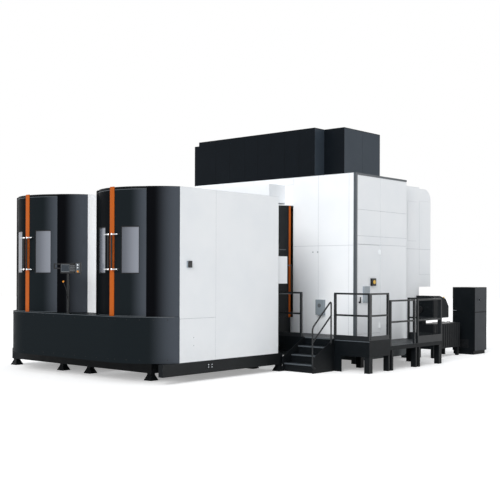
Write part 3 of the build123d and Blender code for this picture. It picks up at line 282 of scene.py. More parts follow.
# Painted shade for the seams: grey under white sheets, near black under black ones.
seam_shadow = coating("seam_shadow", "a9aeb3", "a2a8ad", (0.7, 0.8), shine=0.1)
dark_gap = coating("dark_gap", "050607", "070809", (0.6, 0.7), shine=0.1)
chrome = coating("chrome", "d8dadc", "c8cbce", (0.10, 0.18), (90.0, 0.00004), metal=1.0)
satin_steel = coating("satin_steel", "b4b8bc", "a4a9ae", (0.28, 0.40), (260.0, 0.00006), metal=1.0)
bolt_zinc = coating("bolt_zinc", "a9adb0", "8f9396", (0.30, 0.45), (180.0, 0.00008), metal=1.0)
moulded_black = coating(
    "moulded_black", "0c0d0f", "101113", (0.45, 0.58), (1400.0, 0.0001), shine=0.25
)
key_grey = coating("key_grey", "5a5e62", "63676b", (0.45, 0.55), (1500.0, 0.0001))
amber = coating("amber", "d58a1c", "cf7e16", (0.22, 0.32))
lamp_yellow = coating("lamp_yellow", "e0b020", "dcab1a", (0.25, 0.35))
rubber = coating("rubber", "0b0b0c", "101011", (0.65, 0.8), (500.0, 0.0003), shine=0.25)
cast_iron = coating("cast_iron", "5b6264", "525a5c", (0.55, 0.7), (120.0, 0.0008), shine=0.3)
print("coatings", len(bpy.data.materials))

# %% [markdown]
# ## Machined steel, deck plate and smoked panes
# Three surfaces need a pattern of their own. Turned and ground steel has fine parallel tool marks,
# made here from a stretched noise. The deck is raised chequer plate: two crossed waves, cut to
# their peaks, give lozenges about 30 mm apart. The panes are smoked plastic with a painted sheen,
# lighter where the sheet turns to the light: two shades of grey and a smooth change between.

# %% Machined steel
machined_steel = coating("machined_steel", "a6abae", "979da1", (0.30, 0.42), metal=1.0)
tree = machined_steel.node_tree
place = add_node(tree, "TexCoord").outputs["Object"]
stretch = add_node(tree, "Mapping", {"Vector": place, "Scale": (14.0, 900.0, 14.0)}).outputs[0]
relief(tree, noise(tree, stretch, 1.0, 2.0), 0.00005, 0.5)
print("finish", machined_steel.name)

# %% Chequer plate
deck_plate = coating("deck_plate", "1d2327", "181d21", (0.40, 0.52), metal=0.2, shine=0.25)
tree = deck_plate.node_tree
place = add_node(tree, "TexCoord").outputs["Object"]
peaks = {}
for index, sense in enumerate((1, -1)):
    turned = {"Vector": place, "Rotation": (0.0, 0.0, sense * math.radians(38))}
    slant = add_node(tree, "Mapping", turned).outputs[0]
    band = add_node(tree, "TexWave", {"Vector": slant, "Scale": 10.0}).outputs["Fac"]
    peaks[index] = spread(tree, band, 0.0, 1.0, (0.55, 0.8))
relief(tree, add_node(tree, "Math", peaks, operation="MULTIPLY").outputs[0], 0.002)
print("finish", deck_plate.name)

# %% Painted sheen gradient
drum_right, drum_left = 0.72498, -2.30498
station_axes = {"right_station": drum_right, "left_station": drum_left}


def paint_sheen_across(finish, axis_x, start, stop, dark, light):
    """Paints a sheen into a coating: a smooth change from dark to light, by the distance right of
    an axis.
    """
    tree = finish.node_tree
    place = add_node(tree, "TexCoord").outputs["Object"]
    centred = {"Vector": place, "Location": (-axis_x, 0.0, 0.0)}
    centre = add_node(tree, "Mapping", centred).outputs[0]
    across = add_node(tree, "SeparateXYZ", {0: centre}).outputs["X"]
    rise = spread(tree, across, 0.0, 1.0, (start, stop), interpolation_type="SMOOTHSTEP")
    mixed = blend_colours(tree, rise, tone(dark), tone(light))
    tree.links.new(mixed, tree.nodes["Principled BSDF"].inputs["Base Color"])
    return finish


print("drum axes", station_axes)

# %% Smoked panes
# Each pane gets a painted sheen: darker on its left, lighter towards its right.
panes = {}
for station, axis_x in station_axes.items():
    for side, start, stop in (("right", 0.26, 0.66), ("left", -0.66, -0.26)):
        pane = coating(
            f"{station}_{side}_pane", "666a72", "6a6e76", (0.10, 0.16), (60.0, 0.0001), shine=0.45
        )
        panes[station, side] = paint_sheen_across(pane, axis_x, start, stop, "50545c", "7e828b")
print("panes", list(panes))

# %% [markdown]
# ## Lacquer and painted sheen on the drums
# The black sheets of the drums are lacquered, and each curved panel has a soft sheen of its own:
# nearly black where it faces the front, lighter where it turns to the side. Lamps alone give one
# long sheen across all panels, because their surfaces line up. So the sheen is painted into each
# panel's colour with the gradient above: a dark shade, a light shade, and the two places between
# which one becomes the other.

# %% Drum lacquer with painted sheen
# Painted sheen shades: the dark start, the shade where a leaf faces the front, and the light end.
painted_sheen_dark, painted_sheen_front, painted_sheen_light = "07080b", "181d20", "474c53"
lacquer_gloss, lacquer_shine, turned_away = (0.34, 0.42), 0.012, 1.285


def painted_sheen_lacquer(name, axis_x, start, dark):
    """Black lacquer, its painted sheen rising from a place to where the drum turns to the side."""
    finish = coating(name, "0b0f12", "0d1114", lacquer_gloss, shine=lacquer_shine)
    return paint_sheen_across(finish, axis_x, start, turned_away, dark, painted_sheen_light)


leaf_lacquer_and_sheen, corner_sheen_lacquer = {}, {}
for station, axis_x in station_axes.items():
    for side in ("right", "left"):
        name = f"{station}_{side}_lacquer"
        finish = coating(name, "090c0f", "0b0e11", lacquer_gloss, shine=lacquer_shine)
        # Only the right leaf of each station gets the painted sheen; the left leaf keeps plain
        # lacquer.
        if side == "right":
            paint_sheen_across(finish, axis_x, 0.45, 0.84, painted_sheen_front, painted_sheen_light)
        leaf_lacquer_and_sheen[station, side] = finish
    corner_sheen_lacquer[station] = painted_sheen_lacquer(station + "_corner_sheen_lacquer", axis_x, 0.93, painted_sheen_dark)
# The skirt gets the same painted sheen, lightening round the right drum.
skirt_sheen_lacquer = painted_sheen_lacquer("skirt_sheen_lacquer", drum_right, 0.88, painted_sheen_front)
print("lacquers", len(leaf_lacquer_and_sheen) + len(corner_sheen_lacquer) + 1)

# %% [markdown]
# ## Finishes on the model's own solids
# Most solids keep their shape and only need the right coating. A list from finish to node names
# is easier to check against the photograph than an assignment for each node. What is not named
# is black sheet.

# %% Dress the solids
dressing = {
    white_sheet: (
        "station_walls", "front_panel", "right_panel", "left_panel", "enclosure_roof",
        "rear_housing", "magazine_housing", "access_door",
    ),
    roof_sheet: ("roof_cover",),
    frame_black: ("station_base_frame", "walkway_legs", "stair", "coolant_tank"),
    tube_black: ("guard_rails", "stair_handrail", "console_post"),
    box_enamel: ("wall_boxes",),
    trim_grey: ("corner_trim",),
    moulded_black: ("console_head", "isolator_knob", "access_door_lever"),
    amber: ("console_stop_button",),
    cast_iron: ("machine_bed", "column", "spindle_head", "table_saddle", "station_floor"),
    machined_steel: (
        "spindle", "rotary_table", "magazine_disc", "right_turntable", "left_turntable",
        "right_pallet", "left_pallet",
    ),
}
finish_of = {node: finish for finish, names in dressing.items() for node in names}
for node, solid in nodes.items():
    finish = finish_of.get(node, black_sheet)
    if node.endswith("_strip"):
        finish = signal_orange
    if node.endswith("_window"):
        side = "right" if "_right_door" in node else "left"
        finish = panes[node[: node.index("_station") + 8], side]
    # The skirt takes black lacquer with a painted sheen.
    if node == "station_skirt":
        finish = skirt_sheen_lacquer
    solid.data.materials.clear()
    solid.data.materials.append(finish)
print("dressed", len(nodes), "solids")

# %% [markdown]
# ## Tools for the added pieces
# Every added piece starts as a few operator shapes in one bmesh: rounded blocks, rods and plates.
# Rounding an edge matters more than detail, because a real edge always catches a line of light. One
# helper closes a piece: it turns the normals outward, marks the sharp edges, weights the shading by
# area so that a large flat face stays flat beside its small bevels, links the object, and lets it
# ride on its body. A second helper makes a whole piece from a list of parts.

# %% Shape helpers
usual_slots = {
    "white_paint": (white_sheet, inner_sheet_painted_light),
    "grey_paint": (trim_grey, box_enamel, seam_shadow, dark_gap),
    "dark_plastic": (moulded_black, rubber, key_grey),
    "machined_steel": (bolt_zinc, satin_steel, chrome),
    "stop_red": (amber, lamp_yellow),
    "black_tube": (tube_black,),
    "deck_plate": (deck_plate,),
}
slot_of = {finish: slot for slot, finishes in usual_slots.items() for finish in finishes}
sharp_angle = math.radians(35)


def block(shape, low, high, round_over=0.0, segments=2):
    """A box between two corners, its edges rounded over."""
    low, high = Vector(low), Vector(high)
    grow = Matrix.Diagonal(high - low).to_4x4()
    move = Matrix.Translation((low + high) / 2)
    made = bmesh.ops.create_cube(shape, size=1.0, matrix=move @ grow)
    if round_over:
        edges = {edge for vert in made["verts"] for edge in vert.link_edges}
        soften(shape, list(edges), round_over, segments)


def soften(shape, edges, round_over, segments=2):
    """Bevels the given edges."""
    bmesh.ops.bevel(
        shape, geom=edges, offset=round_over, offset_type="OFFSET", segments=segments,
        profile=0.5, affect="EDGES", clamp_overlap=True, material=-1,
    )


def rod(shape, start, end, radius, sides=20, round_over=0.0):
    """A round bar between two points, with softened ends."""
    start, end = Vector(start), Vector(end)
    aim = (end - start).to_track_quat("Z", "Y").to_matrix().to_4x4()
    made = bmesh.ops.create_cone(
        shape, cap_ends=True, segments=sides, radius1=radius, radius2=radius,
        depth=(end - start).length, matrix=Matrix.Translation((start + end) / 2) @ aim,
    )
    if round_over:
        caps = {face for vert in made["verts"] for face in vert.link_faces if len(face.verts) > 4}
        soften(shape, list({edge for face in caps for edge in face.edges}), round_over)


def ball(shape, centre, radius, around=12, rings=8):
    """A sphere."""
    bmesh.ops.create_uvsphere(
        shape, u_segments=around, v_segments=rings, radius=radius,
        matrix=Matrix.Translation(centre),
    )


def bolt(shape, spot, outward, size=0.012):
    """A hexagon head on a washer, standing out from a face."""
    spot, outward = Vector(spot), Vector(outward)
    under, top = spot + outward * size * 0.2, spot + outward * size * 0.85
    rod(shape, spot, under, size * 1.15, 20, size * 0.05)
    rod(shape, under, top, size * 0.9, 6, size * 0.1)


def finish_piece(shape, name, finish, body="machine", slot=None, edge=0.0):
    """Turns a bmesh into a finished piece that rides on a body."""
    bmesh.ops.recalc_face_normals(shape, faces=shape.faces)
    mesh = bpy.data.meshes.new(name)
    shape.to_mesh(mesh)
    shape.free()
    mesh.shade_smooth()
    mesh.set_sharp_from_angle(angle=sharp_angle)
    mesh.materials.append(finish)
    piece = put(name, mesh)
    if edge:
        broken = piece.modifiers.new("edge", "BEVEL")
        broken.width = edge
        broken.segments = 2
        broken.limit_method = "ANGLE"
        broken.angle_limit = math.radians(50)
    even = piece.modifiers.new("even_shading", "WEIGHTED_NORMAL")
    even.keep_sharp = True
    even.weight = 90
    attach(piece, body)
    slot or slot_of.get(finish, "black_paint")
    print("made", name, len(mesh.polygons), "faces")
    return piece


def build(name, finish, *parts, body="machine", slot=None, turn=None):
    """A piece made of parts; each part is a maker, such as block, and what that maker needs."""
    shape = bmesh.new()
    for maker, *needs in parts:
        maker(shape, *needs)
    if turn:
        bmesh.ops.transform(shape, matrix=turn, verts=shape.verts)
    return finish_piece(shape, name, finish, body, slot)


# %% [markdown]
# ## Sheet-metal skins on the white walls
# The walls are folded sheets screwed to a frame, with a narrow shadow line between neighbours. The
# lines could be drawn in the material, but at a low angle real gaps catch light on one edge and go
# dark on the other. So each wall gets thin plates with rounded edges, set 6 mm apart over a strip
# of painted shade, grey between white sheets and dark between black ones. Where a door or box
# stands, its cell is left out.

# %% Skin helper
sheet_rise, half_gap = 0.004, 0.003


def on_wall(facing, at, u, v, rise):
    """The point at u along a wall and height v, standing out by rise. Facing is x, -x, y or -y."""
    out = -rise if facing.startswith("-") else rise
    return (at + out, u, v) if facing.endswith("x") else (u, at + out, v)


def wall_block(shape, facing, at, cell, rises, round_over, segments):
    """A block over a cell of a wall, between two heights above the wall."""
    u0, u1, v0, v1 = cell
    corners = on_wall(facing, at, u0, v0, rises[0]), on_wall(facing, at, u1, v1, rises[1])
    low, high = ([choice(pair) for pair in zip(*corners)] for choice in (min, max))
    block(shape, low, high, round_over, segments)


def grid(u_stops, v_stops):
    """The cells (u0, u1, v0, v1) between neighbouring stops, row by row."""
    columns, rows = zip(u_stops, u_stops[1:]), zip(v_stops, v_stops[1:])
    columns = list(columns)
    return [(*column, *row) for row in rows for column in columns]


def clad(name, facing, at, cells, finish=white_sheet, body="machine"):
    """Plates over a wall, one for each cell, and the painted shade that shows in their gaps."""
    plates, seam_shade = [], []
    for cell in cells:
        u0, u1, v0, v1 = cell
        inner = (u0 + half_gap, u1 - half_gap, v0 + half_gap, v1 - half_gap)
        plates.append((wall_block, facing, at, inner, (0.0005, sheet_rise), 0.0015, 2))
        seam_shade.append((wall_block, facing, at, cell, (0.0002, 0.0011), 0.0002, 1))
    build(name + "_skin", finish, *plates, body=body)
    # The painted shade strip: grey under white sheets, near black under black ones.
    below = seam_shadow if finish in (white_sheet, inner_sheet_painted_light) else dark_gap
    build(name + "_seal", below, *seam_shade, body=body)


# %% Station walls
right_low, right_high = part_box("station_walls")
wall_front, wall_back = right_low.y, right_high.y
wall_foot, wall_top = right_low.z, right_high.z
outer_right, outer_left = right_high.x, right_low.x
station_width = 2.56
inner_right, inner_left = outer_right - station_width, outer_left + station_width
split_y, seam_z = wall_front + 1.105, 1.352
side_cells = [
    (wall_front, split_y, wall_foot, seam_z),
    (wall_front, split_y, seam_z, wall_top),
    (split_y, wall_back, wall_foot, wall_top),
]
clad("right_station_side", "x", outer_right, side_cells)
clad("left_station_side", "-x", outer_left, side_cells)
clad("right_station_inner", "-x", inner_right, side_cells, inner_sheet_painted_light)
clad("left_station_inner", "x", inner_left, side_cells, inner_sheet_painted_light)
third = station_width / 3
for name, start in (("right", inner_right), ("left", outer_left)):
    back_cells = [
        (start + k * third, start + (k + 1) * third, low, high)
        for k in range(3)
        for low, high in ((wall_foot, 2.2), (2.2, wall_top))
    ]
    clad(name + "_station_back", "y", wall_back, back_cells)

# %% Main enclosure
panel_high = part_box("right_panel")[1]
front_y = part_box("front_panel")[1].y - 0.06
side_x, side_back = panel_high.x, panel_high.y
left_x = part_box("left_panel")[0].x
door_top, door_foot, door_edge, trim_edge = 3.06, 0.80, 1.362, 0.304
panel_foot, panel_top = 0.435, 4.785
upper = (door_top, 3.27, 3.93, panel_top)
clad(
    "enclosure_right", "x", side_x,
    [(trim_edge, door_edge, panel_foot, door_foot)] + grid((trim_edge, door_edge), upper)
    + grid((door_edge, side_back), (panel_foot, *upper)),
)
clad(
    "enclosure_front", "-y", front_y,
    grid((0.80, 1.61, 2.56, 2.70), (0.77, 3.03, 4.835))
    + grid((-2.83, -1.72, -0.63), (0.77, 3.03, 4.175))
    + grid((-2.83, -1.72, -0.60, 0.80), (4.655, 4.835)),
)
clad(
    "enclosure_left", "-x", left_x,
    [
        (start, start + 0.78, low, high)
        for start in (0.30, 1.08, 1.86)
        for low, high in ((panel_foot, 3.03), (3.03, 4.835))
    ],
)
print("enclosure front at", round(front_y, 3), "side at", round(side_x, 3))

# %% Rear housing and tool magazine
housing_low, housing_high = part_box("rear_housing")
magazine_low, magazine_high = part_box("magazine_housing")
rear_seam, rear_top = 3.01, 4.725
rear_cells = grid((side_back + 0.004, housing_high.y), (panel_foot, rear_seam, rear_top))
clad("rear_right", "x", housing_high.x - 0.15, rear_cells)
clad("rear_left", "-x", housing_low.x + 0.08, rear_cells)
clad(
    "rear_back", "y", housing_high.y,
    [
        (start, start + 0.83, low, high)
        for start in (-2.69, -1.86, -1.03, -0.20)
        for low, high in ((panel_foot, 1.95), (1.95, rear_top))
    ]
    + grid((0.66, 1.60, 2.55), (panel_foot, 1.95)),
)
clad(
    "magazine_right", "x", magazine_high.x,
    grid(
        (magazine_low.y + 0.005, magazine_high.y - 0.005),
        (magazine_low.z + 0.34, rear_seam, magazine_high.z - 0.34),
    ),
)
clad(
    "magazine_back", "y", magazine_high.y,
    grid(
        (magazine_low.x + 0.34, 1.605, magazine_high.x - 0.34),
        (magazine_low.z + 0.01, magazine_high.z - 0.01),
    ),
)
print("rear housing box", [round(v, 3) for v in (*housing_low, *housing_high)])

# %% [markdown]
# ## Station doors
# Each loading station closes with two curved leaves on one upright axis. A leaf is a rolled
# sheet with a window cut through it. Spin makes the roll: a vertical line of points is turned
# about the axis in three runs, so that the window's edges fall on real edges and its cell can
# simply be deleted. Solidify gives the sheet its 30 mm, a small bevel breaks the edges. The smoked
# pane is rolled the same way, 12 mm behind the leaf's outer face.

# %% Drum helpers
door_axis_y = -4.58035
leaf_radius, leaf_sheet = 1.300, 0.030
leaf_low, leaf_high = 1.4003, 4.0795
window_low, window_high = 2.31, 3.29
half_seam, window_start, window_stop, leaf_stop = 0.11, 11.5, 30.016, 43.0
panels = [
    (station, side, (axis_x, door_axis_y), sense)
    for station, axis_x in station_axes.items()
    for side, sense in (("right", 1), ("left", -1))
]


def on_drum(axis, radius, angle, height):
    """A point round an upright axis; the angle counts from the front towards the right."""
    swing = math.radians(angle)
    return Vector((axis[0] + radius * math.sin(swing), axis[1] - radius * math.cos(swing), height))


def roll(shape, axis, start, runs, heights):
    """Turns a vertical line of points about the axis, in runs of (angle, steps)."""
    points = [shape.verts.new(on_drum(axis, start[0], start[1], height)) for height in heights]
    line = [shape.edges.new(pair) for pair in zip(points, points[1:])]
    for angle, steps in runs:
        turned = bmesh.ops.spin(
            shape, geom=line, cent=(axis[0], axis[1], 0.0), axis=(0.0, 0.0, 1.0),
            angle=math.radians(angle), steps=steps,
        )
        line = [item for item in turned["geom_last"] if isinstance(item, bmesh.types.BMEdge)]


def thicken(shape, thickness):
    """Gives a rolled sheet its thickness."""
    bmesh.ops.recalc_face_normals(shape, faces=shape.faces)
    bmesh.ops.solidify(shape, geom=shape.faces, thickness=thickness)


def arc_bar(shape, axis, radius, height, start, stop, wide, tall, steps=16):
    """A flat bar bent round the axis between two angles."""
    middle = Matrix.Translation(on_drum(axis, radius, start, height))
    face_along = Matrix.Rotation(math.radians(90), 4, "Y")
    section_turn = Matrix.Rotation(math.radians(start), 4, "Z") @ face_along
    made = bmesh.ops.create_grid(
        shape, x_segments=1, y_segments=1, size=0.5,
        matrix=middle @ section_turn @ Matrix.Diagonal((tall, wide, 1.0, 1.0)),
    )
    faces = list({face for vert in made["verts"] for face in vert.link_faces})
    bmesh.ops.spin(
        shape, geom=faces, cent=(axis[0], axis[1], 0.0), axis=(0.0, 0.0, 1.0),
        angle=math.radians(stop - start), steps=steps,
    )


print("panels", [(station, side) for station, side, _, _ in panels])

# %% Door leaves
for station, side, axis, sense in panels:
    leaf = bmesh.new()
    runs = [(sense * window_start, 8), (sense * (window_stop - window_start), 11)]
    runs.append((sense * (leaf_stop - window_stop), 8))
    heights = (leaf_low, window_low, window_high, leaf_high)
    roll(leaf, axis, (leaf_radius, sense * half_seam), runs, heights)
    bmesh.ops.remove_doubles(leaf, verts=leaf.verts, dist=0.0002)
    cut = []
    for face in leaf.faces:
        spot = face.calc_center_median()
        swing = sense * math.degrees(math.atan2(spot.x - axis[0], axis[1] - spot.y)) - half_seam
        if window_start < swing < window_stop and window_low < spot.z < window_high:
            cut.append(face)
    bmesh.ops.delete(leaf, geom=cut, context="FACES")
    bmesh.ops.recalc_face_normals(leaf, faces=leaf.faces)
    inside = Vector((*axis, 2.7))
    outward = sum(f.normal.dot(f.calc_center_median() - inside) for f in leaf.faces)
    if outward < 0:
        bmesh.ops.reverse_faces(leaf, faces=leaf.faces)
    bmesh.ops.solidify(leaf, geom=leaf.faces, thickness=leaf_sheet)
    body = f"{station}_{side}_leaf"
    lacquer = leaf_lacquer_and_sheen[station, side]
    piece = finish_piece(leaf, body + "_sheet", lacquer, body, edge=0.002)
    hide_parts(f"{station}_{side}_door")
    pane = bmesh.new()
    glass = (sense * (window_stop - window_start + 1.2), 14)
    edges_z = (window_low - 0.012, window_high + 0.012)
    roll(pane, axis, (leaf_radius - 0.012, sense * (window_start - 0.6)), [glass], edges_z)
    thicken(pane, 0.006)
    smoked = panes[station, side]
    piece = finish_piece(pane, body + "_pane", smoked, body, "window_pane", edge=0.001)
    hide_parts(f"{station}_{side}_door_window")

# %% [markdown]
# ## Corner panels
# Between the doors and the side wall a curved panel closes each corner, and the leaf slides behind
# its edge when the door opens. The four panels are one solid in the model, so each gets a thin
# rolled sheet with its own painted sheen. It follows the solid's curve, whose centre lies forward
# and to the side of the door's axis.

# %% Corner sheets
corner_shift, corner_curve = (0.3162, -0.0867), 1.0714
corner_from, corner_to = 26.3, 64.0
for station, side, axis, sense in panels:
    centre = (axis[0] + sense * corner_shift[0], door_axis_y + corner_shift[1])
    start = (corner_curve + 0.0035, sense * corner_from)
    sheet = bmesh.new()
    roll(sheet, centre, start, [(sense * (corner_to - corner_from), 24)], (1.405, 4.125))
    thicken(sheet, 0.003)
    finish_piece(sheet, f"{station}_{side}_corner_sheet", corner_sheen_lacquer[station])

# %% [markdown]
# ## Gaskets, edge lines and handles
# A rubber profile holds each pane, and its matt black line is what separates pane and paint. A
# grey folded edge closes each leaf at top and bottom, and each has a tall pull: a dark round bar
# held by two polished flat arms that bend with the drum and end in a foot on the leaf. The arms
# are bent bars made by spin, and bar and arms are separate pieces because their finishes differ.

# %% Gaskets and edges
for station, side, axis, sense in panels:
    body = f"{station}_{side}_leaf"
    first, last = sense * window_start, sense * window_stop
    feet = [on_drum(axis, 1.2945, angle, window_low - 0.008) for angle in (first, last)]
    rise = Vector((0, 0, window_high - window_low + 0.016))
    build(
        f"{station}_{side}_gasket", rubber,
        *[
            (arc_bar, axis, 1.2975, z, first, last, 0.008, 0.016)
            for z in (window_low, window_high)
        ],
        *[(rod, foot, foot + rise, 0.007, 12, 0.001) for foot in feet],
        body=body,
    )
    rims = ((4.072, 0.012), (1.412, 0.010))
    build(
        f"{station}_{side}_rim", trim_grey,
        *[
            (arc_bar, axis, 1.3008, z, sense * 3.4, sense * 42.8, 0.004, tall, 24)
            for z, tall in rims
        ],
        body=body,
    )

# %% Pull handles
bar_radius, stand_radius = 0.019, 1.370
handle_low, handle_high = 2.390, 3.130
bar_angle, foot_angle = 2.3, 8.8
half_clamp = Vector((0, 0, 0.016))
for station, side, axis, sense in panels:
    bar_at, foot_at = sense * bar_angle, sense * foot_angle
    name = f"{station}_{side}_pull_"
    on_leaf = {"body": f"{station}_{side}_leaf", "slot": "black_tube"}
    low = on_drum(axis, stand_radius, bar_at, handle_low - 0.012)
    top = on_drum(axis, stand_radius, bar_at, handle_high + 0.012)
    piece = build(name + "bar", moulded_black, (rod, low, top, bar_radius, 24, 0.003), **on_leaf)
    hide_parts(f"{station}_{side}_door_handle")
    arms, feet = [], []
    for height in (handle_low, handle_high):
        foot = on_drum(axis, leaf_radius + 0.001, foot_at, height)
        plate = on_drum(axis, leaf_radius + 0.009, foot_at, height)
        clamp = on_drum(axis, stand_radius, bar_at, height)
        arms += [
            (arc_bar, axis, stand_radius, height, sense * 1.6, foot_at, 0.010, 0.024, 8),
            (rod, foot, on_drum(axis, stand_radius, foot_at, height), 0.011, 20, 0.002),
            (rod, clamp - half_clamp, clamp + half_clamp, 0.0225, 24, 0.002),
        ]
        feet.append((rod, foot, plate, 0.024, 24, 0.002))
    build(name + "arms", chrome, *arms, **on_leaf)
    build(name + "feet", moulded_black, *feet, **on_leaf)

# %% [markdown]
# ## Skirt and base
# The skirt is one curved sheet held by button screws near its upper and lower edge. Their rows
# follow the outline: an arc round the right drum, a straight run and an arc round the left drum.
# The base carries a bolted bracket on its side rail, where the photograph shows bright heads.

# %% Skirt screws and base bracket
skirt_radius, skirt_front = 1.4, door_axis_y - 1.4
skirt_ends = (((drum_right, door_axis_y), 1), ((drum_left, door_axis_y), -1))
screws = []
for height in (1.335, 0.500):
    for angle in range(8, 60, 12):
        for axis, sense in skirt_ends:
            seat = on_drum(axis, skirt_radius - 0.001, sense * angle, height)
            head = on_drum(axis, skirt_radius + 0.005, sense * angle, height)
            screws.append((rod, seat, head, 0.011, 16, 0.002))
    for k in range(9):
        seat = Vector((drum_left + (drum_right - drum_left) * k / 8, skirt_front + 0.001, height))
        screws.append((rod, seat, seat - Vector((0, 0.006, 0)), 0.011, 16, 0.002))
build("skirt_screws", moulded_black, *screws, slot="black_paint")
bends = [
    (arc_bar, axis, skirt_radius + 0.001, 1.394, 0, sense * 62, 0.004, 0.010, 24)
    for axis, sense in skirt_ends
]
ledge_low = (drum_left, skirt_front - 0.003, 1.389)
ledge_high = (drum_right, skirt_front + 0.001, 1.399)
build("skirt_edge", trim_grey, *bends, (block, ledge_low, ledge_high, 0.001))
build("base_bracket", frame_black, (block, (2.0052, -4.290, 0.252), (2.013, -4.125, 0.362), 0.003))
build(
    "base_bolts", bolt_zinc,
    *[(bolt, (2.013, y, z), (1, 0, 0), 0.013) for y in (-4.262, -4.153) for z in (0.280, 0.334)],
    *[(rod, (2.0088, -4.715, z), (2.0125, -4.715, z), 0.013, 20, 0.002) for z in (0.943, 0.773)],
)

# %% [markdown]
# ## Operator console
# The console stands between the drums and faces the operator, so its parts are built upright at
# the origin and then turned into place with one matrix. It needs what a hand and an eye look for:
# a screen with a bezel, a block of keys, dials and a second amber knob on a bent arm of the post.

# %% Console parts
across, facing = Vector((0.75471, 0.656059, 0.0)), Vector((0.656059, -0.75471, 0.0))
console_frame = Matrix((across, -facing, Vector((0, 0, 1)))).transposed().to_4x4()
console_frame.translation = Vector((-0.79, -5.86935, 2.30))
on_head = {"body": "console", "turn": console_frame}
build(
    "console_bezel", trim_grey,
    (block, (-0.152, -0.050, 0.028), (0.040, -0.044, 0.200), 0.002),
    (block, (0.176, -0.051, 0.010), (0.272, -0.044, 0.230), 0.002),
    **on_head,
)
screen_glass = coating("screen_glass", "1d2730", "202b35", (0.06, 0.10))
pane = (block, (-0.140, -0.0525, 0.050), (0.028, -0.0500, 0.188), 0.0008)
build("console_screen", screen_glass, pane, slot="dark_plastic", **on_head)
keys = [
    (block, (u, -0.053, w), (u + 0.018, -0.044, w + 0.024), 0.003)
    for w in [0.048 + row * 0.036 for row in range(4)]
    for u in [0.058 + column * 0.026 for column in range(4)]
]
keys += [
    (block, (u, -0.053, 0.033), (u + 0.020, -0.049, 0.044), 0.002)
    for u in [-0.138 + column * 0.028 for column in range(6)]
]
build("console_keys", key_grey, *keys, **on_head)
dials = []
for w, radius in ((0.185, 0.020), (0.125, 0.016)):
    reach = radius * 0.8
    dials.append((rod, (0.224, -0.050, w), (0.224, -0.072, w), radius, 28, 0.003))
    dials.append((block, (0.2215, -0.0745, w - reach), (0.2265, -0.0715, w + reach), 0.001))
build("console_dials", satin_steel, *dials, **on_head)
bend = [
    (-0.012, -0.030, -0.52), (-0.034, -0.040, -0.36), (-0.078, -0.046, -0.245),
    (-0.092, -0.048, -0.205),
]
arm = []
for start, stop in zip(bend, bend[1:]):
    arm += [(rod, start, stop, 0.008, 14), (ball, stop, 0.008)]
arm.append((rod, (-0.012, -0.024, -0.56), (-0.012, -0.036, -0.50), 0.020, 20, 0.003))
build("post_arm", moulded_black, *arm, turn=console_frame)
build("post_knob", amber, (ball, (-0.096, -0.049, -0.186), 0.024, 20, 14), turn=console_frame)

# %% [markdown]
# ## Operator door and front of the enclosure
# The round operator door is dark inside its frame, crossed by two thin ribs. Its handle is a
# dark bar on two grey arms, like the station's. Small latches sit on the front panel.

# %% Operator door ribs and handle
operator_axis = (0.08025, 0.29965)
on_door = {"body": "operator_door"}
ribs = [(arc_bar, operator_axis, 0.7015, z, -76, 66, 0.006, 0.014, 40) for z in (1.81, 2.94)]
build("operator_door_ribs", trim_grey, *ribs, **on_door)
pull_radius, pull_angle, arm_angle = 0.81, 75, 52
ends = [on_drum(operator_axis, pull_radius, pull_angle, z) for z in (1.776, 2.544)]
bar = (rod, *ends, 0.014, 24, 0.003)
piece = build("operator_pull_bar", moulded_black, bar, slot="black_tube", **on_door)
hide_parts("operator_door_handle")
arms = []
for z in (1.79, 2.53):
    radii = (0.701, pull_radius, 0.710)
    foot, elbow, plate = [on_drum(operator_axis, radius, arm_angle, z) for radius in radii]
    arms += [
        (arc_bar, operator_axis, pull_radius, z, arm_angle, 76, 0.010, 0.024, 10),
        (rod, foot, elbow, 0.012, 20, 0.002),
        (rod, foot, plate, 0.026, 24, 0.002),
    ]
build("operator_pull_arms", trim_grey, *arms, slot="black_tube", **on_door)
latches = []
for x in (1.44, 1.595):
    slot_low = (x - 0.003, front_y - 0.0125, 2.856)
    slot_high = (x + 0.003, front_y - 0.0105, 2.884)
    inner, outer = (x, front_y - 0.0045, 2.87), (x, front_y - 0.011, 2.87)
    latches.append((rod, inner, outer, 0.020, 24, 0.002))
    latches.append((block, slot_low, slot_high, 0.0005))
build("front_latches", satin_steel, *latches)

# %% [markdown]
# ## Boxes on the walls
# Boxes get a lid with a rounded edge, screws at its corners, and glands or a dial where a cable or
# a setting belongs. The small box beside the doors is dark, the service box grey, and the cable
# box behind the stations is white like the wall.

# %% Box lids
lid = (block, (1.595, 0.1455, 1.264), (1.836, 0.1502, 1.643), 0.002)
build("service_box_lid", box_enamel, lid)
build(
    "service_box_fittings", bolt_zinc,
    *[
        (rod, (x, 0.1456, z), (x, 0.1430, z), 0.006, 14, 0.001)
        for x in (1.610, 1.821) for z in (1.279, 1.628)
    ],
    *[(rod, (x, 0.195, 1.2585), (x, 0.195, 1.225), 0.016, 6, 0.002) for x in (1.66, 1.72, 1.78)],
)
dial = (rod, (1.715, 0.1456, 1.50), (1.715, 0.1400, 1.50), 0.052, 36, 0.002)
build("service_box_dial", key_grey, dial)
build(
    "station_switch_cover", moulded_black,
    (block, (2.0450, -4.928, 2.432), (2.0490, -4.802, 2.573), 0.003),
    *[(rod, (2.0485, -4.865, z), (2.0560, -4.865, z), 0.018, 24, 0.002) for z in (2.468, 2.536)],
)
clad("cable_box_side", "x", 1.955, [(-1.868, -1.473, 2.073, 2.726)])
clad("cable_box_back", "y", -1.4703, [(1.407, 1.953, 2.073, 2.726)])

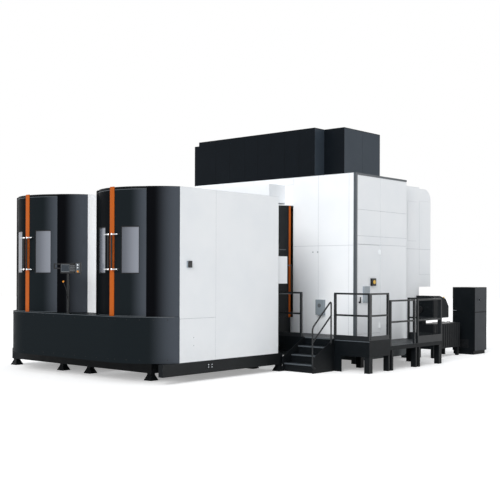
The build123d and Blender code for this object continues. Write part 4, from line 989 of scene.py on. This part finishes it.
# %% Access door furniture
on_access = {"body": "access_door"}
build(
    "interlock_lid", box_enamel,
    (block, (2.7662, 0.5585, 1.5885), (2.8088, 0.8215, 2.0015), 0.004),
    *[
        (rod, (2.8086, y, z), (2.8105, y, z), 0.006, 14)
        for z in (1.605, 1.985) for y in (0.575, 0.805)
    ],
    **on_access,
)
housing = (block, (2.7662, 0.8985, 2.0085), (2.8285, 1.0815, 2.2015), 0.004)
build("lamp_housing_face", moulded_black, housing, **on_access)
lens = (rod, (2.8280, 0.990, 2.105), (2.8420, 0.990, 2.105), 0.052, 32, 0.005)
build("lamp_lens", lamp_yellow, lens, **on_access)

# %% [markdown]
# ## Walkway and stair
# Chequer plate lies in sheets on the deck, with narrow joints, and a grey folded nosing marks
# each edge a foot has to find. The posts stand on bolted foot plates. The stair's handrail is one
# bent tube: its route gets a curve at each corner, and rings of points along the route are
# joined into the tube, which gives an even wall round the bend.

# %% Deck plates and nosings
deck_x, deck_y = ((-0.893, 0.35), (0.35, 1.55), (1.55, 2.763)), ((-0.008, 1.208), (1.212, 2.487))
build(
    "deck_plates", deck_plate,
    *[(block, (a + 0.002, -0.909, 0.7642), (b - 0.002, 0.228, 0.7682), 0.001) for a, b in deck_x],
    (block, (2.765, -0.909, 0.7642), (3.938, -0.012, 0.7682), 0.001),
    *[(block, (2.776, a, 0.5902), (3.938, b, 0.5942), 0.001) for a, b in deck_y],
)
treads, nosings = [], []
for step in range(1, 4):
    nose, top = -1.71035 + (step - 1) * 0.26667, step * 0.191
    treads.append((block, (2.071, nose + 0.002, top), (2.939, nose + 0.262, top + 0.003), 0.0008))
    nosings.append(
        (block, (2.071, nose - 0.004, top - 0.026), (2.939, nose + 0.028, top + 0.005), 0.002)
    )
nosings.append((block, (2.071, -0.9145, 0.742), (2.939, -0.882, 0.7705), 0.002))
nosings.append((block, (2.957, -0.9140, 0.728), (3.938, -0.9105, 0.748), 0.001))
build("tread_plates", deck_plate, *treads)
build("edge_nosings", trim_grey, *nosings)

# %% Post feet
upper_posts = [(-0.8617 + k * 0.92857, -0.87705) for k in range(4)]
upper_posts += [(2.948, -0.87705), (3.9067, -0.852), (3.9067, -0.0803)]
lower_posts = [(3.9067, 0.0297), (3.9067, 1.1337), (3.9067, 1.2877)]
lower_posts += [(3.88, 2.4564), (2.955, 2.4564)]
half_foot, foot_sheet = 0.055, 0.008
feet, bolts = [], []
for floor_z, posts in ((0.7682, upper_posts), (0.5942, lower_posts)):
    top = floor_z + foot_sheet
    for x, y in posts:
        right, back = min(x + half_foot, 3.9385), min(y + half_foot, 2.487)
        front = max(y - half_foot, -0.9085)
        feet.append((block, (x - half_foot, front, floor_z), (right, back, top), 0.002))
        for bolt_y in (front + 0.014, back - 0.014):
            bolts.append((bolt, (x - 0.040, bolt_y, top), (0, 0, 1), 0.009))
build("post_feet", tube_black, *feet)
build("post_bolts", bolt_zinc, *bolts)

# %% Bent handrail


def eased(points, ease, steps=8):
    """The route with each inner corner replaced by a curve that starts that far from it."""
    route = [Vector(points[0])]
    for before, corner, after in zip(points, points[1:], points[2:]):
        corner = Vector(corner)
        start = corner + (Vector(before) - corner).normalized() * ease
        stop = corner + (Vector(after) - corner).normalized() * ease
        for k in range(steps + 1):
            share = k / steps
            route.append(start.lerp(corner, share).lerp(corner.lerp(stop, share), share))
    return route + [Vector(points[-1])]


def tube(shape, route, radius, side, sides=24):
    """A round tube along a route that lies in the plane at right angles to side."""
    rings = []
    for k, point in enumerate(route):
        along = (route[min(k + 1, len(route) - 1)] - route[max(k - 1, 0)]).normalized()
        other = along.cross(side)
        turns = [math.tau * j / sides for j in range(sides)]
        ring = [point + radius * (math.cos(t) * side + math.sin(t) * other) for t in turns]
        rings.append([shape.verts.new(spot) for spot in ring])
    for first, second in zip(rings, rings[1:]):
        for j in range(sides):
            following = (j + 1) % sides
            shape.faces.new((first[j], first[following], second[following], second[j]))
    shape.faces.new(rings[0])
    shape.faces.new(reversed(rings[-1]))


rail_x, tube_radius, to_right = 2.97425, 0.019, Vector((1.0, 0.0, 0.0))
stair_foot, stair_head = (-1.71035, 0.13), (-1.08035, 0.6685)
bends = [stair_foot, (-1.81035, 0.13), (-1.81035, 1.06), (-1.08035, 1.67), stair_head]
handrail = eased([(rail_x, y, z) for y, z in bends], 0.085)
knee = [Vector((rail_x, y, z)) for y, z in ((-1.81035, 0.715), (-1.08035, 1.325))]
plates = [
    (rod, (2.9553, y, z), (2.963, y, z), 0.034, 24, 0.002) for y, z in (stair_foot, stair_head)
]
piece = build(
    "handrail_tube", tube_black,
    (tube, handrail, tube_radius, to_right), (tube, knee, tube_radius, to_right), *plates,
)
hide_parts("stair_handrail")

# %% [markdown]
# ## Conveyor, tank and cabinet
# The conveyor head is a welded hood with a framed side, a motor cover and a beacon. The tank is
# stiffened by upright ribs. The cabinet is two stacked boxes: a dark joint runs round it, with
# a small bright handle at the side and vents near the floor.

# %% Conveyor head
outline = [
    (3.545, 1.125), (4.335, 1.125), (4.335, 1.400), (4.180, 1.598), (3.840, 1.690), (3.545, 1.690),
]
side = bmesh.new()
face = side.faces.new([side.verts.new((3.1055, y, z)) for y, z in outline])
ring = bmesh.ops.inset_region(side, faces=[face], thickness=0.035, use_even_offset=True)
grown = bmesh.ops.extrude_face_region(side, geom=ring["faces"])
lifted_verts = [item for item in grown["geom"] if isinstance(item, bmesh.types.BMVert)]
bmesh.ops.translate(side, vec=(0.006, 0, 0), verts=lifted_verts)
bmesh.ops.solidify(side, geom=side.faces, thickness=0.001)
finish_piece(side, "hood_side_frame", black_sheet)
frame_bars = (
    (2.562, 3.098, 1.108, 1.140), (2.562, 3.098, 1.676, 1.708),
    (2.562, 2.592, 1.140, 1.676), (3.068, 3.098, 1.140, 1.676),
)
slats = [1.22 + row * 0.05 for row in range(6)]
build(
    "hood_front_frame", frame_black,
    *[(block, (x0, 3.514, z0), (x1, 3.5195, z1), 0.002) for x0, x1, z0, z1 in frame_bars],
    *[(block, (2.78, 3.512, z), (3.02, 3.5195, z + 0.025), 0.004) for z in slats],
)
build(
    "conveyor_gear_motor", moulded_black,
    (rod, (2.68, 3.5195, 1.34), (2.68, 3.470, 1.34), 0.095, 40, 0.006),
    (rod, (2.68, 3.470, 1.34), (2.68, 3.440, 1.34), 0.060, 32, 0.005),
)
beacon_foot, beacon_joint, beacon_top = [(3.05, 4.18, z) for z in (1.58, 1.645, 1.680)]
build("beacon_base", moulded_black, (rod, beacon_foot, beacon_joint, 0.024, 24, 0.002))
build("beacon_lens", lamp_yellow, (rod, beacon_joint, beacon_top, 0.020, 24, 0.006))

# %% Tank ribs and covers
side_ribs, end_ribs = [3.56 + k * 0.124 for k in range(12)], [2.62 + k * 0.13 for k in range(4)]
build(
    "tank_ribs", frame_black,
    *[(block, (3.1045, y, 0.275), (3.116, y + 0.040, 0.905), 0.004) for y in side_ribs],
    *[(block, (x, 5.0195, 0.275), (x + 0.04, 5.031, 0.905), 0.004) for x in end_ribs],
)
lids = []
for start, stop in ((4.38, 4.69), (4.71, 5.00)):
    mid = (start + stop) / 2
    lids.append((block, (2.575, start, 0.9352), (3.085, stop, 0.942), 0.002))
    lids.append((block, (2.78, mid - 0.008, 0.955), (2.88, mid + 0.008, 0.967), 0.004))
    lids += [(rod, (x, mid, 0.941), (x, mid, 0.960), 0.006, 12) for x in (2.785, 2.875)]
build("tank_lids", black_sheet, *lids)

# %% Cabinet
cabinet_seam = 1.220


def cabinet_cells(start, stop, foot, top):
    """The two stacked sheets of a cabinet's side, with the dark joint between them."""
    return [(start, stop, foot, cabinet_seam - 0.010), (start, stop, cabinet_seam + 0.010, top)]


clad("cabinet_front", "-y", 5.33965, cabinet_cells(2.707, 3.378, 0.104, 1.936), black_sheet)
clad("cabinet_left", "-x", 2.70495, cabinet_cells(5.342, 6.087, 0.104, 1.936), black_sheet)
door_cells = cabinet_cells(5.348, 6.082, 0.110, 1.930)
# The cabinet's right side takes the painted-lit copy of the black.
clad("cabinet_painted_lit_side", "x", 3.40495, door_cells, cabinet_painted_lit_side, "cabinet_door")
grip_z = cabinet_seam + 0.045
build(
    "cabinet_grip", chrome,
    *[(rod, (x, 5.3355, grip_z), (x, 5.318, grip_z), 0.006, 14, 0.001) for x in (2.722, 2.832)],
    (block, (2.712, 5.308, grip_z - 0.008), (2.842, 5.320, grip_z + 0.008), 0.004),
)
slats = [0.20 + row * 0.035 for row in range(7)]
vents = [(block, (2.86, 5.3315, z), (3.22, 5.3365, z + 0.016), 0.003) for z in slats]
build("cabinet_vents", moulded_black, *vents)
plate = (rod, (3.4095, 5.60965, 1.58), (3.4120, 5.60965, 1.58), 0.050, 36, 0.001)
build("isolator_plate", trim_grey, plate, body="cabinet_door")
mark = (block, (3.4495, 5.6055, 1.556), (3.4530, 5.6138, 1.604), 0.0015)
build("isolator_mark", key_grey, mark, body="isolator_knob", slot="grey_paint")

# %% [markdown]
# ## Roof cover, roofs and back
# The black box on the roof is a row of folded sheets about half a metre wide. The pale roofs get
# plates and lifting eyes, and the back of the machine gets louvred vents and a service hatch, so
# that it is as finished as the front.

# %% Roof cover sheets
cover_low, cover_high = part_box("roof_cover")
step_x, step_y, right_x = 1.47495, 0.66965, 2.10495
cover_z = (4.86, 6.075)
stops = (-2.68, -2.02, -1.48, -0.92, -0.45, 0.02, 0.48, 0.97, step_x - 0.002)
clad("cover_front", "-y", cover_low.y, grid(stops, cover_z), roof_sheet)
# This right-facing side of the cover takes the painted-lit copy of the black.
clad("cover_step_side", "x", step_x, grid((0.245, step_y - 0.006), cover_z), painted_lit_side_sheet)
step_cells = grid((step_x + 0.006, right_x - 0.002), cover_z)
clad("cover_step_front", "-y", step_y, step_cells, roof_sheet)
# So does the cover's right side.
clad("cover_right", "x", right_x, grid((step_y + 0.004, 1.51, 2.345), cover_z), painted_lit_side_sheet)
back_stops = [-2.67 + k * 0.795 for k in range(7)]
clad("cover_back", "y", cover_high.y, grid(back_stops, cover_z), roof_sheet)

# %% Lifting eyes and vents


def lifting_eye(shape, spot):
    """A ring on a collar: a small circle spun about a horizontal axis."""
    spot = Vector(spot)
    rod(shape, spot, spot + Vector((0, 0, 0.012)), 0.030, 24, 0.002)
    ring_centre = spot + Vector((0, 0, 0.046))
    section = Matrix.Translation(ring_centre + Vector((0.030, 0, 0)))
    made = bmesh.ops.create_circle(
        shape, segments=10, radius=0.008, matrix=section @ Matrix.Rotation(math.radians(90), 4, "X")
    )
    edges = list({edge for vert in made["verts"] for edge in vert.link_edges})
    bmesh.ops.spin(
        shape, geom=edges, cent=ring_centre, axis=(0, 1, 0), angle=math.radians(360), steps=20,
        use_merge=True,
    )


spots = [(x, y, 4.1345) for x in (-3.2, -2.3, -0.3, 0.7) for y in (-4.2, -2.6)]
spots += [(x, 2.5, 4.8445) for x in (-2.5, 1.3)]
build("lifting_eyes", bolt_zinc, *[(lifting_eye, spot) for spot in spots])


def louvres(name, facing, at, u0, u1, v0, rows):
    """A column of raised slats on a wall."""
    feet = [v0 + row * 0.06 for row in range(rows)]
    slats = [
        (wall_block, facing, at, (u0, u1, foot, foot + 0.034), (0.0, 0.014), 0.006, 3)
        for foot in feet
    ]
    build(name, box_enamel, *slats)


louvres("left_vent", "-x", left_x - sheet_rise, 1.25, 1.70, 0.75, 10)
louvres("back_vent_low", "y", housing_high.y + sheet_rise, -1.72, -1.17, 0.75, 12)
louvres("back_vent_high", "y", housing_high.y + sheet_rise, -0.88, -0.34, 3.6, 12)
clad("rear_hatch", "x", housing_high.x - 0.1458, [(3.05, 3.50, 3.23, 4.32)])

# %% Roof plates
roofs = []
for x in (-3.50, -2.22, -0.46, 0.82):
    for front, back in ((-5.10, -3.52), (-3.51, -1.93)):
        roofs.append((block, (x + 0.004, front, 4.1302), (x + 1.15, back, 4.1342), 0.0015))
for x in (-2.77, -1.86, -0.95, -0.04, 0.87, 1.78):
    roofs.append((block, (x + 0.004, 2.36, 4.8402), (x + 0.90, 2.63, 4.8442), 0.0015))
build("roof_plates", white_sheet, *roofs)
